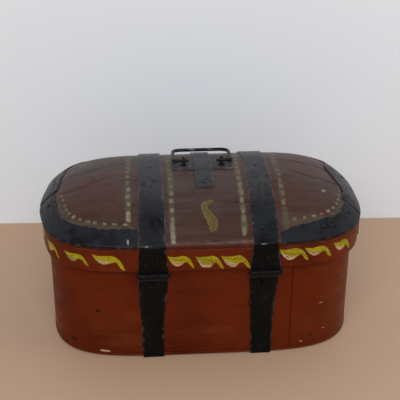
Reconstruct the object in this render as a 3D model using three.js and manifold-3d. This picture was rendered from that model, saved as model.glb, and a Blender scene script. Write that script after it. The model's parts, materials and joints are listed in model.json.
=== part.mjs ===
// Bentwood travelling box with a domed plank lid, bound in forged iron straps.
// Millimetres, +Z up, X along the box; the two strap hinges are on the -Y side, the hasp on the +Y side.
// The origin is the centre of the whole object in plan, at the level that it stands on.
import * as THREE from 'three';
import { mergeVertices } from 'three/addons/utils/BufferGeometryUtils.js';
import Module from 'manifold-3d';

const wasm = await Module();
wasm.setup();

// ---- Driving dimensions ----------------------------------------------------------------------

// Plan outline of the lid hoop: |x / halfLength|^lengthPower + |y / halfDepth|^depthPower = 1
const halfLength = 250;
const halfDepth = 153;
const lengthPower = 4.5;
const depthPower = 2.8;
const outlineSteps = 64;
// The lid has sprung in a little on both sides of its left end: how far, and over what half run
const sprung = [{ y: 50, depth: 3, run: 30 }, { y: -66, depth: 3, run: 32 }];

const gap = 0.3; // air between pieces that touch
const splint = 5; // thickness of the bent wooden hoops
const bodyInset = 9; // from the lid hoop's outer face to the body hoop's outer face
// Where each hoop's outer end lies, how far round the box it is shaved away, and how proud it stands
const bodyLap = { x: 134, side: -1, run: 0.08, proud: 1.2 };
const lidLap = { x: 247.5, side: -1, run: 0.06, proud: 2 };

const floorUnder = 2.3; // underside of the bottom board
const flangeTop = 7;
const flangeProud = 0.5; // the bottom board's flange shows past the body hoop
const boardTop = 14;
const bodyTop = 184;

const lidHoopBottom = 159;
const lidHoopTop = 195.2;
const lidEdgeBottom = lidHoopTop + gap;
const lidEdgeTop = 202;
const overhang = 1.6; // the lid planks' edge past the lid hoop
const domeRise = 58.5; // from the planks' edge to the crest
const endRoundness = 1.18; // above 1 the dome stays flat longer and drops later, towards the ends
const sideRoundness = 0.765; // below 1 it falls away sooner, towards the long sides
const plankThickness = 12;
const frontJoint = -34; // joints between the three planks
const rearJoint = 12;

const iron = 2; // thickness of straps and plates
const ironCentre = 5; // the ironwork sits slightly right of the middle
const strapSpacing = 167;
const strapWidth = { hinge: 47, edge: 37, crest: 35, rear: 40, foot: 33, heel: 28 };
const strapHeel = 60; // how far the body straps climb the far wall
// Widths of the body straps on the near wall, below the hinge: [height, width]
const bodyStrapTaper = { shoulder: 45, middle: [100, 39.5], lower: [55, 35] };
const bodyStrapLean = -2; // below the hinge they run a little to the left

const barrelRadius = 3.4; // hinge knuckles
const pinRadius = 1.55;
const pinBore = 1.8;
const knuckleGap = 0.6;
const middleKnuckle = 15;
const hingeY = halfDepth + gap + barrelRadius;
const hingeZ = lidHoopBottom - 1 - barrelRadius;

// The front right iron starts narrow beside its strap; the rear right one widens in the middle
const edgeIronWidth = { front: 24, rear: 29, narrow: 15, belly: 46 };
const narrowRun = 45; // the narrow start grows to full width over this length
const belly = { fromCut: 98, halfRun: 75 };
const edgeIronStart = { left: -101, right: 112 }; // the front and rear irons end beside the lid straps
const edgeIronLip = 4; // the edge irons turn down over the planks' edge
const edgeIronStep = 12; // length of one facet along an edge iron
const leftCutY = -14; // the edge irons meet at these cuts on the two ends
const rightCutY = -75;

const centreStrapWidth = 28;
const tailY = -63; // rounded end of the centre strap on the hinge side
const centreStrapEnd = 162;

const handlePlate = { length: 98, width: 30 };
const bail = { half: 45.5, arm: 62, rod: 6, corner: 14, foot: 21.5, footCorner: 7, drop: 7.8 };
const eye = { spacing: 60, width: 5, radius: 7, bore: 3.9, lift: 6.5, stem: 2.2, stemBelow: 3 };
const crest = lidEdgeTop + domeRise;
const plateTop = crest + gap + iron;
const bailZ = plateTop + gap + eye.lift;

const staple = { z: 175, rod: 4, reach: 168, pitch: 11, leg: 1.4, legHole: 1.8 };
const haspWidth = 24;
const haspTip = 33.5; // from the hasp's pin to its end
const haspSlot = { width: 9, height: 17 };
const haspHingeWidth = 30;
const haspPlateFoot = 104;

const nailHead = { radius: 4, height: 1.7 };
const nailShank = 1.2;
const nailHole = 1.5;
const strapNailY = [-134, -4, 134]; // nails along a lid strap
const rimNailZ = 177; // nails through a strap's ends on the lid hoop
const wallNails = [[-1, 128], [-1, 58], [1, 44]]; // nails in a body strap: [side, height]

const peg = { radius: 2, length: 14, proud: 0.3, ways: [0.04, 0.2, 0.3, 0.46, 0.54, 0.96] };

const wood = { hoop: 0x6b2d14, plank: 0x4b3430, raw: 0x9c7650 };
const forged = 0x24282b;

// ---- Solids ----------------------------------------------------------------------------------

// A closed three.js geometry as a solid that can be joined and cut.
function solidOf(geometry) {
  const bare = geometry.clone();
  bare.deleteAttribute('normal');
  bare.deleteAttribute('uv');
  const merged = mergeVertices(bare, 1e-4);
  return new wasm.Manifold(new wasm.Mesh({
    numProp: 3,
    vertProperties: Float32Array.from(merged.attributes.position.array),
    triVerts: Uint32Array.from(merged.index.array),
  }));
}

function geometryOf(solid) {
  const { vertProperties, triVerts } = solid.getMesh();
  const geometry = new THREE.BufferGeometry();
  geometry.setAttribute('position', new THREE.BufferAttribute(Float32Array.from(vertProperties), 3));
  geometry.setIndex(new THREE.BufferAttribute(Uint32Array.from(triVerts), 1));
  geometry.computeVertexNormals();
  return geometry;
}

const joined = (...solids) => solids.reduce((whole, next) => whole.add(next));
const cut = (solid, ...tools) => tools.reduce((rest, tool) => rest.subtract(tool), solid);

function geometryFrom(points, triangles) {
  const geometry = new THREE.BufferGeometry().setFromPoints(points);
  geometry.setIndex(triangles);
  return geometry;
}

// A plate whose two faces are matching grids of points, outer[row][column] and inner[row][column].
// Looking at the outer face with rows running up, the columns run to the right.
function plateSolid(outer, inner) {
  const rows = outer.length;
  const columns = outer[0].length;
  const back = rows * columns;
  const at = (row, column) => row * columns + column;
  const triangles = [];
  const quad = (a, b, c, d) => triangles.push(a, b, c, a, c, d);
  for (let row = 0; row < rows - 1; row++) {
    for (let column = 0; column < columns - 1; column++) {
      const corners = [at(row, column), at(row, column + 1), at(row + 1, column + 1), at(row + 1, column)];
      quad(...corners);
      quad(...corners.reverse().map((corner) => corner + back));
    }
  }
  for (let row = 0; row < rows - 1; row++) {
    quad(at(row, 0), at(row + 1, 0), at(row + 1, 0) + back, at(row, 0) + back);
    const [low, high] = [at(row, columns - 1), at(row + 1, columns - 1)];
    quad(high, low, low + back, high + back);
  }
  for (let column = 0; column < columns - 1; column++) {
    quad(at(0, column + 1), at(0, column), at(0, column) + back, at(0, column + 1) + back);
    const [left, right] = [at(rows - 1, column), at(rows - 1, column + 1)];
    quad(left, right, right + back, left + back);
  }
  return solidOf(geometryFrom([...outer.flat(), ...inner.flat()], triangles));
}

// A flat outline of [y, z] points, or a Shape in those axes, extruded along X.
function alongX(outline, fromX, toX) {
  const shape = outline instanceof THREE.Shape
    ? outline
    : new THREE.Shape(outline.map(([y, z]) => new THREE.Vector2(y, z)));
  const geometry = new THREE.ExtrudeGeometry(shape, {
    depth: toX - fromX, bevelEnabled: false, curveSegments: 10,
  });
  const axes = new THREE.Matrix4().makeBasis(
    new THREE.Vector3(0, 1, 0), new THREE.Vector3(0, 0, 1), new THREE.Vector3(1, 0, 0));
  return solidOf(geometry.applyMatrix4(axes).translate(fromX, 0, 0));
}

const disc = (y, z, radius) => {
  const shape = new THREE.Shape();
  shape.absarc(y, z, radius, 0, 2 * Math.PI);
  return shape;
};

const boxSolid = (low, high) => {
  const size = high.clone().sub(low);
  const middle = low.clone().add(high).multiplyScalar(0.5);
  return solidOf(new THREE.BoxGeometry(size.x, size.y, size.z).translate(middle.x, middle.y, middle.z));
};

// Turns a lathe profile of [radius, height] points about its own +Y into one about a direction.
function turned(profile, base, direction, sides) {
  const points = profile.map(([radius, height]) => new THREE.Vector2(radius, height));
  const geometry = new THREE.LatheGeometry(points, sides);
  const turn = new THREE.Quaternion().setFromUnitVectors(new THREE.Vector3(0, 1, 0), direction);
  return geometry.applyQuaternion(turn).translate(base.x, base.y, base.z);
}

// ---- Plan outline and dome -------------------------------------------------------------------

// How far the lid's left half is squeezed towards the middle at y, as a share of its length.
const squeeze = (y) => sprung.reduce((sum, { y: middle, depth, run }) => (
  sum - depth / halfLength * Math.exp(-(((y - middle) / run) ** 2))), 1);

class PlanOutline extends THREE.Curve {
  constructor(squeezeAt) {
    super();
    this.squeezeAt = squeezeAt;
    this.arcLengthDivisions = 1600;
  }

  getPoint(t) {
    const cos = Math.cos(2 * Math.PI * t);
    const sin = Math.sin(2 * Math.PI * t);
    const y = Math.sign(sin) * halfDepth * Math.abs(sin) ** (2 / depthPower);
    const reach = halfLength * (cos < 0 ? this.squeezeAt(y) : 1);
    return new THREE.Vector2(Math.sign(cos) * reach * Math.abs(cos) ** (2 / lengthPower), y);
  }
}

const lidOutline = new PlanOutline(squeeze);
const bodyOutline = new PlanOutline(() => 1);

// The point a given way round the lid hoop's outer face, or the body's outline, moved out by offset.
function outlineAt(way, offset, curve = lidOutline) {
  const point = curve.getPointAt(((way % 1) + 1) % 1);
  const slope = (value, half, power) => (
    Math.sign(value) * (power / half) * (Math.abs(value) / half) ** (power - 1));
  const normal = new THREE.Vector2(
    slope(point.x, halfLength, lengthPower), slope(point.y, halfDepth, depthPower)).normalize();
  return { point: point.addScaledVector(normal, offset), normal };
}

const outlineRing = (offset, curve = lidOutline) => (
  Array.from({ length: outlineSteps }, (_, step) => outlineAt(step / outlineSteps, offset, curve).point));

// How far round the outline, counter-clockwise from +X, a side's half reaches a given x.
function wayRound(x, side) {
  let low = 0;
  let high = 0.5;
  for (let halving = 0; halving < 30; halving++) {
    const middle = (low + high) / 2;
    if (lidOutline.getPointAt(middle).x > x) {
      low = middle;
    } else {
      high = middle;
    }
  }
  return side > 0 ? low : 1 - low;
}

// Distance of the long walls from the X axis at x, for a face moved out by offset.
const depthAt = (x, offset) => (
  halfDepth * (1 - (Math.abs(x) / halfLength) ** lengthPower) ** (1 / depthPower) + offset);

// 0 at the crest, 1 along the planks' edge.
function domeLevel(x, y) {
  const reach = (halfLength + overhang) * (x < 0 ? squeeze(y) : 1);
  const along = (Math.abs(x) / reach) ** lengthPower;
  const across = (Math.abs(y) / (halfDepth + overhang)) ** depthPower;
  const share = across / (along + across || 1);
  return (along + across) ** (endRoundness + (sideRoundness - endRoundness) * share);
}

const domeHeight = (x, y) => lidEdgeTop + domeRise * (1 - domeLevel(x, y));

function domeNormal(x, y) {
  const step = 0.5;
  return new THREE.Vector3(
    (domeHeight(x - step, y) - domeHeight(x + step, y)) / (2 * step),
    (domeHeight(x, y - step) - domeHeight(x, y + step)) / (2 * step),
    1).normalize();
}

const onDome = (x, y, lift) => (
  new THREE.Vector3(x, y, domeHeight(x, y)).addScaledVector(domeNormal(x, y), lift));

// ---- Wooden body -----------------------------------------------------------------------------

function ringShape(outerOffset, curve) {
  const shape = new THREE.Shape(outlineRing(outerOffset, curve));
  shape.holes.push(new THREE.Path(outlineRing(outerOffset - splint, curve)));
  return shape;
}

const raised = (shape, bottom, top) => solidOf(
  new THREE.ExtrudeGeometry(shape, { depth: top - bottom, bevelEnabled: false }).translate(0, 0, bottom));

// The outer end of a bent hoop: it stands proud where it overlaps and is shaved away round the box.
function lapEnd({ x, side, run, proud }, offset, curve, bottom, top) {
  const startWay = wayRound(x, side);
  const steps = 8;
  const buried = 2; // the lap reaches this far into the hoop, to join it
  const rows = Array.from({ length: steps + 1 }, (_, step) => {
    const way = startWay + run * step / steps;
    const rise = proud * (1 - step / steps) + 0.01;
    return {
      outer: outlineAt(way, offset + rise, curve).point,
      inner: outlineAt(way, offset - buried, curve).point,
    };
  });
  const column = (flat) => [bottom, top].map((z) => new THREE.Vector3(flat.x, flat.y, z));
  const outer = rows.map((row) => column(row.outer));
  const inner = rows.map((row) => column(row.inner));
  return plateSolid(inner, outer);
}

function bottomBoard() {
  return joined(
    raised(new THREE.Shape(outlineRing(flangeProud - bodyInset, bodyOutline)), floorUnder, flangeTop),
    raised(new THREE.Shape(outlineRing(-bodyInset - splint - gap, bodyOutline)), flangeTop - 1, boardTop));
}

function bodyHoop() {
  const bottom = flangeTop + gap;
  return joined(
    raised(ringShape(-bodyInset, bodyOutline), bottom, bodyTop),
    lapEnd(bodyLap, -bodyInset, bodyOutline, bottom, bodyTop));
}

function lidHoop() {
  return joined(
    raised(ringShape(0, lidOutline), lidHoopBottom, lidHoopTop),
    lapEnd(lidLap, 0, lidOutline, lidHoopBottom, lidHoopTop));
}

// A solid bounded by closed rings of points, from a point on top down to a point underneath.
function ringStack(top, rings, bottom) {
  const count = rings[0].length;
  const points = [top, ...rings.flat(), bottom];
  const last = points.length - 1;
  const triangles = [];
  for (let step = 0; step < count; step++) {
    const next = (step + 1) % count;
    triangles.push(0, 1 + step, 1 + next);
    for (let ring = 0; ring < rings.length - 1; ring++) {
      const upper = 1 + ring * count;
      const lower = upper + count;
      triangles.push(upper + step, lower + step, lower + next, upper + step, lower + next, upper + next);
    }
    triangles.push(last, last - count + next, last - count + step);
  }
  return solidOf(geometryFrom(points, triangles));
}

// The whole lid top before it is split into planks: domed above, hollowed below.
function lidBlank() {
  const edge = outlineRing(overhang);
  const shares = [0.35, 0.56, 0.72, 0.84, 0.92, 0.97, 1];
  const ringAt = (share, height) => edge.map(({ x, y }) => (
    new THREE.Vector3(share * x, share * y, height(share * x, share * y))));
  const hollow = (x, y) => Math.max(lidEdgeBottom, domeHeight(x, y) - plankThickness);
  const above = shares.map((share) => ringAt(share, share === 1 ? () => lidEdgeTop : domeHeight));
  const below = shares.toReversed().map((share) => ringAt(share, share === 1 ? () => lidEdgeBottom : hollow));
  return ringStack(
    new THREE.Vector3(0, 0, crest), [...above, ...below], new THREE.Vector3(0, 0, crest - plankThickness));
}

function plank(blank, fromY, toY) {
  const low = new THREE.Vector3(-halfLength - 10, fromY + gap / 2, 0);
  const high = new THREE.Vector3(halfLength + 10, toY - gap / 2, crest + 10);
  return blank.intersect(boxSolid(low, high));
}

// ---- Straps ----------------------------------------------------------------------------------

// A station is a place along a strap: it gives, for any x, the point on the inner face and the
// way that the iron's thickness goes.
const wallStation = (side, offset, z) => (x) => ({
  point: new THREE.Vector3(x, side * depthAt(x, offset + gap), z),
  out: new THREE.Vector3(0, side, 0),
});

const domeStation = (y, lift = gap) => (x) => ({
  point: onDome(x, y, lift),
  out: domeNormal(x, y),
});

// Over the planks' edge the iron's thickness goes mostly outwards and a little up.
const cornerOut = { across: 0.95, up: 0.35 };

const edgeCorner = (side) => (x) => ({
  point: new THREE.Vector3(x, side * depthAt(x, overhang + gap), lidEdgeTop + gap),
  out: new THREE.Vector3(0, side * cornerOut.across, cornerOut.up),
});

const undersideStation = (y) => (x) => ({
  point: new THREE.Vector3(x, y, iron),
  out: new THREE.Vector3(0, 0, -1),
});

const floorCorner = (side, depth) => (x) => ({
  point: new THREE.Vector3(x, side * depth, iron),
  out: new THREE.Vector3(0, side, -1).multiplyScalar(0.8),
});

// A strap through its stations, each with its own width and sideways shift, centred on x.
function strapSolid(centreX, stations, shares = [-1, 0, 1]) {
  const outer = [];
  const inner = [];
  for (const { at, width, shift = 0 } of stations) {
    const row = shares.map((share) => at(centreX + shift + share * width / 2));
    inner.push(row.map(({ point }) => point));
    outer.push(row.map(({ point, out }) => point.clone().addScaledVector(out, iron)));
  }
  return plateSolid(outer, inner);
}

const mix = (from, to, share) => from + (to - from) * share;

const domeReach = halfDepth + overhang - 4; // the straps follow the dome this far from the middle
const domeSteps = 18;

// Stations from a strap's lower end on one rim, over the planks' edge.
function rimStations(side, endZ, endWidth, edgeWidth) {
  const heights = [endZ, mix(endZ, lidHoopTop, 0.5), lidHoopTop - 5];
  const widthAt = (z) => mix(endWidth, edgeWidth, (z - endZ) / (lidEdgeTop - endZ));
  const stations = heights.map((z) => ({ at: wallStation(side, 0, z), width: widthAt(z) }));
  stations.push({ at: wallStation(side, overhang, lidHoopTop + 0.5), width: widthAt(lidHoopTop) });
  stations.push({ at: edgeCorner(side), width: edgeWidth });
  return stations;
}

function overDome(fromY, toY, steps, widthAt, liftAt = () => gap) {
  return Array.from({ length: steps + 1 }, (_, step) => {
    const y = mix(fromY, toY, step / steps);
    return { at: domeStation(y, liftAt(y)), width: widthAt(y) };
  });
}

// A hinge knuckle round a pin along X, with the leaf that joins it to its strap.
function knuckle(y, z, fromX, toX, leaf) {
  return joined(alongX(disc(y, z, barrelRadius), fromX, toX), alongX(leaf, fromX, toX));
}

const pinHole = (y, z, centreX, width) => (
  alongX(disc(y, z, pinBore), centreX - width / 2 - 1, centreX + width / 2 + 1));

// Leaf between a strap flat on the wall and the knuckle beside it.
function wallLeaf(side, fromZ, toZ) {
  const near = side * (hingeY - barrelRadius + 0.2);
  const far = side * (hingeY - barrelRadius + iron - 0.2);
  return [[near, fromZ], [far, fromZ], [far, toZ], [near, toZ]];
}

const leafReach = barrelRadius + 3;

function outerKnuckles(side, centreX, width, leaf) {
  return [-1, 1].map((end) => {
    const edges = [centreX + end * (middleKnuckle / 2 + knuckleGap), centreX + end * width / 2];
    return knuckle(side * hingeY, hingeZ, Math.min(...edges), Math.max(...edges), leaf);
  });
}

function lidStrap(centreX) {
  const strapEnd = hingeZ + barrelRadius + knuckleGap;
  const { hinge, edge, crest: crestWidth, rear } = strapWidth;
  const strap = strapSolid(centreX, [
    ...rimStations(-1, strapEnd, hinge, edge),
    ...overDome(-domeReach, domeReach, domeSteps, (y) => mix(crestWidth, edge, Math.abs(y) / domeReach)),
    ...rimStations(1, lidHoopBottom + 1, rear, edge).reverse(),
  ]);
  const leaf = wallLeaf(-1, hingeZ, hingeZ + leafReach);
  return cut(
    joined(strap, ...outerKnuckles(-1, centreX, hinge, leaf)),
    pinHole(-hingeY, hingeZ, centreX, hinge));
}

// The part of a strap that comes down from the hinge and bends back on to the body's wall.
function shoulderStations(side, topWidth, lowWidth) {
  const wall = flangeProud - bodyInset;
  const top = hingeZ - barrelRadius - knuckleGap;
  return [
    { at: wallStation(side, 0, top), width: topWidth },
    { at: wallStation(side, 0, top - 2), width: topWidth },
    { at: wallStation(side, wall, top - 12), width: lowWidth },
  ];
}

function bodyStrap(centreX) {
  const wall = flangeProud - bodyInset;
  const depth = depthAt(centreX, wall + gap);
  const { hinge, foot, heel } = strapWidth;
  const below = [
    { at: wallStation(-1, wall, bodyStrapTaper.middle[0]), width: bodyStrapTaper.middle[1] },
    { at: wallStation(-1, wall, bodyStrapTaper.lower[0]), width: bodyStrapTaper.lower[1] },
    { at: wallStation(-1, wall, iron + 3), width: foot },
    { at: floorCorner(-1, depth), width: foot },
    { at: undersideStation(-depth + 5), width: foot },
    { at: undersideStation(depth - 5), width: foot },
    { at: floorCorner(1, depth), width: foot },
    { at: wallStation(1, wall, iron + 3), width: foot },
    { at: wallStation(1, wall, strapHeel - 8), width: heel },
    { at: wallStation(1, wall, strapHeel), width: heel * 0.6 },
  ];
  const strap = strapSolid(centreX, [
    ...shoulderStations(-1, hinge, bodyStrapTaper.shoulder),
    ...below.map((station) => ({ ...station, shift: bodyStrapLean })),
  ], [1, 0, -1]);
  const middle = knuckle(-hingeY, hingeZ, centreX - middleKnuckle / 2, centreX + middleKnuckle / 2,
    wallLeaf(-1, hingeZ - leafReach, hingeZ));
  return cut(joined(strap, middle), pinHole(-hingeY, hingeZ, centreX, hinge));
}

// A hinge pin with a peened head at each end.
function hingePin(side, centreX, width) {
  const headRadius = 2.5;
  const headLength = 1.4;
  const length = width + 2 * (gap + headLength);
  const profile = [
    [0, 0], [headRadius * 0.7, 0], [headRadius, headLength], [pinRadius, headLength],
    [pinRadius, length - headLength], [headRadius, length - headLength], [headRadius * 0.7, length],
    [0, length],
  ];
  const start = new THREE.Vector3(centreX - length / 2, side * hingeY, hingeZ);
  return turned(profile, start, new THREE.Vector3(1, 0, 0), 12);
}

// ---- Edge irons ------------------------------------------------------------------------------

const perimeter = lidOutline.getLength();

// A band nailed round the planks' edge, from one way round the outline to another.
function edgeIron(fromWay, toWay, widthAt) {
  const steps = Math.ceil(Math.abs(toWay - fromWay) * perimeter / edgeIronStep);
  const outer = [];
  const inner = [];
  for (let step = 0; step <= steps; step++) {
    const way = mix(fromWay, toWay, step / steps);
    const lip = (offset, z) => {
      const { point } = outlineAt(way, overhang + offset);
      return new THREE.Vector3(point.x, point.y, z);
    };
    const dome = (share, lift) => {
      const { point } = outlineAt(way, overhang - mix(edgeIronLip, widthAt(way), share));
      return onDome(point.x, point.y, lift);
    };
    const across = [0, 0.25, 0.5, 0.75, 1];
    inner.push([
      lip(gap, lidEdgeTop - edgeIronLip), lip(gap, lidEdgeTop + gap),
      ...across.map((share) => dome(share, gap)),
    ]);
    outer.push([
      lip(gap + iron, lidEdgeTop - edgeIronLip), lip(gap + iron * 0.8, lidEdgeTop + iron * 0.6),
      ...across.map((share) => dome(share, gap + iron)),
    ]);
  }
  return plateSolid(inner, outer);
}

const leftCut = 0.5 - leftCutY / perimeter;
const rightCut = 1 + rightCutY / perimeter;
const cutHalfGap = 0.4 / perimeter;
const irons = {
  front_left: [leftCut + cutHalfGap, wayRound(edgeIronStart.left, -1)],
  rear_left: [wayRound(edgeIronStart.left, 1), leftCut - cutHalfGap],
  front_right: [wayRound(edgeIronStart.right, -1), rightCut - cutHalfGap],
  rear_right: [rightCut + cutHalfGap, 1 + wayRound(edgeIronStart.right, 1)],
};

function frontRightWidth(way) {
  const share = (way - irons.front_right[0]) * perimeter / narrowRun;
  return mix(edgeIronWidth.narrow, edgeIronWidth.front, THREE.MathUtils.clamp(share, 0, 1));
}

function rearRightWidth(way) {
  const fromMiddle = Math.abs((way - rightCut) * perimeter - belly.fromCut) / belly.halfRun;
  return mix(edgeIronWidth.belly, edgeIronWidth.rear, THREE.MathUtils.smoothstep(fromMiddle, 0, 1));
}

// ---- Centre strap, handle and closure --------------------------------------------------------

// The centre strap rides up over the handle plate.
function centreStrapLift(y) {
  const beyond = (Math.abs(y) - handlePlate.width / 2 - 1) / 7;
  return gap + (iron + gap) * THREE.MathUtils.clamp(1 - beyond, 0, 1);
}

function centreStrap() {
  const width = () => centreStrapWidth;
  const tail = [0, 1.5, 5].map((inset) => {
    const narrowing = 10 * (1 - inset / 5) ** 2;
    return { at: domeStation(tailY + inset), width: centreStrapWidth - narrowing };
  });
  return strapSolid(ironCentre, [
    ...tail,
    ...overDome(-50, 50, 20, width, centreStrapLift),
    ...overDome(62, domeReach, 7, width),
    ...rimStations(1, centreStrapEnd, centreStrapWidth, centreStrapWidth).reverse(),
  ]);
}

function handlePlateSolid() {
  const steps = 8;
  const row = (y, lift) => Array.from({ length: steps + 1 }, (_, step) => (
    onDome(ironCentre + handlePlate.length * (step / steps - 0.5), y, lift)));
  const edges = [-0.5, 0, 0.5].map((share) => share * handlePlate.width);
  return plateSolid(edges.map((y) => row(y, gap + iron)), edges.map((y) => row(y, gap)));
}

const eyeX = (end) => ironCentre + end * eye.spacing / 2;

// An eye for the bail: an arch on the plate with a stem through the lid.
function bailEye(centreX) {
  const base = plateTop + gap;
  const arch = new THREE.Shape();
  arch.moveTo(-eye.radius, base);
  arch.lineTo(eye.radius, base);
  arch.lineTo(eye.radius, bailZ);
  arch.absarc(0, bailZ, eye.radius, 0, Math.PI);
  arch.closePath();
  const body = alongX(arch, centreX - eye.width / 2, centreX + eye.width / 2);
  const hole = alongX(disc(0, bailZ, eye.bore), centreX - eye.width, centreX + eye.width);
  const stemTip = crest - plankThickness - eye.stemBelow;
  const stemLength = base + 1.5 - stemTip; // the stem runs on 1.5 mm into the arch
  const profile = [[0, 0], [eye.stem * 0.6, 0], [eye.stem, 3], [eye.stem, stemLength], [0, stemLength]];
  const foot = new THREE.Vector3(centreX, 0, stemTip);
  const stem = solidOf(turned(profile, foot, new THREE.Vector3(0, 0, 1), 12));
  return joined(cut(body, hole), stem);
}

// The bail's centre line in its own plane: [across, along the arms], feet turned in through the eyes.
function bailPath() {
  const { half, arm, foot, footCorner, corner } = bail;
  const drop = THREE.MathUtils.degToRad(bail.drop);
  const at = (across, along) => new THREE.Vector3(
    ironCentre + across, along * Math.cos(drop), bailZ - along * Math.sin(drop));
  const path = new THREE.CurvePath();
  const bend = (from, middle, to) => path.add(new THREE.QuadraticBezierCurve3(from, middle, to));
  const run = (from, to) => path.add(new THREE.LineCurve3(from, to));
  run(at(-foot, 0), at(-half + footCorner, 0));
  bend(at(-half + footCorner, 0), at(-half, 0), at(-half, footCorner));
  run(at(-half, footCorner), at(-half, arm - corner));
  bend(at(-half, arm - corner), at(-half, arm), at(-half + corner, arm));
  run(at(-half + corner, arm), at(half - corner, arm));
  bend(at(half - corner, arm), at(half, arm), at(half, arm - corner));
  run(at(half, arm - corner), at(half, footCorner));
  bend(at(half, footCorner), at(half, 0), at(half - footCorner, 0));
  run(at(half - footCorner, 0), at(foot, 0));
  return path;
}

function bailHandle() {
  const section = new THREE.Shape();
  section.absarc(0, 0, bail.rod / 2, 0, 2 * Math.PI);
  return new THREE.ExtrudeGeometry(section, { steps: 48, extrudePath: bailPath(), curveSegments: 4 });
}

// A U-shaped staple standing on the centre strap, with two legs driven into the lid hoop.
function lockStaple() {
  const face = halfDepth + gap + iron + gap;
  const { z, rod, reach, pitch } = staple;
  const outerRadius = (pitch + rod) / 2;
  const bow = reach - outerRadius;
  const loop = new THREE.Shape();
  loop.moveTo(face, z - outerRadius);
  loop.lineTo(bow, z - outerRadius);
  loop.absarc(bow, z, outerRadius, -Math.PI / 2, Math.PI / 2);
  loop.lineTo(face, z + outerRadius);
  loop.closePath();
  const opening = new THREE.Shape();
  const innerRadius = outerRadius - rod;
  opening.moveTo(halfDepth - 20, z - innerRadius);
  opening.lineTo(bow, z - innerRadius);
  opening.absarc(bow, z, innerRadius, -Math.PI / 2, Math.PI / 2);
  opening.lineTo(halfDepth - 20, z + innerRadius);
  opening.closePath();
  const legs = [-1, 1].map((end) => stapleLeg(z + end * pitch / 2, face));
  const half = rod / 2;
  const bowSolid = cut(
    alongX(loop, ironCentre - half, ironCentre + half),
    alongX(opening, ironCentre - rod, ironCentre + rod));
  return joined(bowSolid, ...legs);
}

function stapleLeg(z, face) {
  const legEnd = halfDepth - splint + 1;
  const length = face + 1 - legEnd;
  const profile = [[0, 0], [staple.leg, 0], [staple.leg, length], [0, length]];
  return solidOf(turned(profile, new THREE.Vector3(ironCentre, legEnd, z), new THREE.Vector3(0, 1, 0), 10));
}

const stapleHoles = [-1, 1].map((end) => {
  const z = staple.z + end * staple.pitch / 2;
  const from = halfDepth - splint + 0.5;
  const depth = 12;
  const profile = [[0, 0], [staple.legHole, 0], [staple.legHole, depth], [0, depth]];
  return solidOf(turned(profile, new THREE.Vector3(ironCentre, from, z), new THREE.Vector3(0, 1, 0), 10));
});

// The plate on the body that carries the hasp.
function haspPlate() {
  const wall = flangeProud - bodyInset;
  const plate = strapSolid(ironCentre, [
    { at: wallStation(1, wall, haspPlateFoot), width: haspHingeWidth * 0.7 },
    { at: wallStation(1, wall, haspPlateFoot + 6), width: haspHingeWidth },
    ...shoulderStations(1, haspHingeWidth, haspHingeWidth).reverse(),
  ], [1, 0, -1]);
  const leaf = wallLeaf(1, hingeZ - leafReach, hingeZ);
  return cut(
    joined(plate, ...outerKnuckles(1, ironCentre, haspHingeWidth, leaf)),
    pinHole(hingeY, hingeZ, ironCentre, haspHingeWidth));
}

// The hasp hangs from the plate and swings up over the staple on the lid.
function hasp() {
  const half = haspWidth / 2;
  const round = 8;
  const shoulder = hingeZ - barrelRadius - knuckleGap;
  const roundZ = hingeZ - haspTip + round;
  const outline = new THREE.Shape();
  outline.moveTo(-half, shoulder);
  outline.lineTo(-half, roundZ);
  outline.absarc(round - half, roundZ, round, Math.PI, 1.5 * Math.PI);
  outline.absarc(half - round, roundZ, round, 1.5 * Math.PI, 2 * Math.PI);
  outline.lineTo(half, shoulder);
  outline.closePath();
  const slotZ = 2 * hingeZ - staple.z;
  const slotHalf = haspSlot.width / 2;
  const slotRun = haspSlot.height / 2 - slotHalf;
  const slot = new THREE.Path();
  slot.absarc(0, slotZ + slotRun, slotHalf, 0, Math.PI);
  slot.absarc(0, slotZ - slotRun, slotHalf, Math.PI, 2 * Math.PI);
  outline.holes.push(slot);
  const facing = new THREE.Matrix4().makeBasis(
    new THREE.Vector3(1, 0, 0), new THREE.Vector3(0, 0, 1), new THREE.Vector3(0, -1, 0));
  const plate = new THREE.ExtrudeGeometry(outline, { depth: iron, bevelEnabled: false, curveSegments: 6 })
    .applyMatrix4(facing)
    .translate(ironCentre, hingeY + iron / 2, 0);
  const within = iron / 2 - 0.2;
  const leaf = [
    [hingeY - within, hingeZ - leafReach], [hingeY + within, hingeZ - leafReach],
    [hingeY + within, hingeZ], [hingeY - within, hingeZ],
  ];
  const middle = knuckle(
    hingeY, hingeZ, ironCentre - middleKnuckle / 2, ironCentre + middleKnuckle / 2, leaf);
  return cut(joined(solidOf(plate), middle), pinHole(hingeY, hingeZ, ironCentre, haspHingeWidth));
}

// ---- Nails and pegs --------------------------------------------------------------------------

const plankNail = 9; // length of the shank under the head
const hoopNail = 6;

const nailAt = (name, seat, length, through) => ({
  name,
  head: seat.point.clone().addScaledVector(seat.out, iron + gap),
  out: seat.out.clone().normalize(),
  length,
  through,
});

const plankAt = (y) => {
  if (y < frontJoint) {
    return 'lid_plank_front';
  }
  return y < rearJoint ? 'lid_plank_middle' : 'lid_plank_rear';
};

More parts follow.
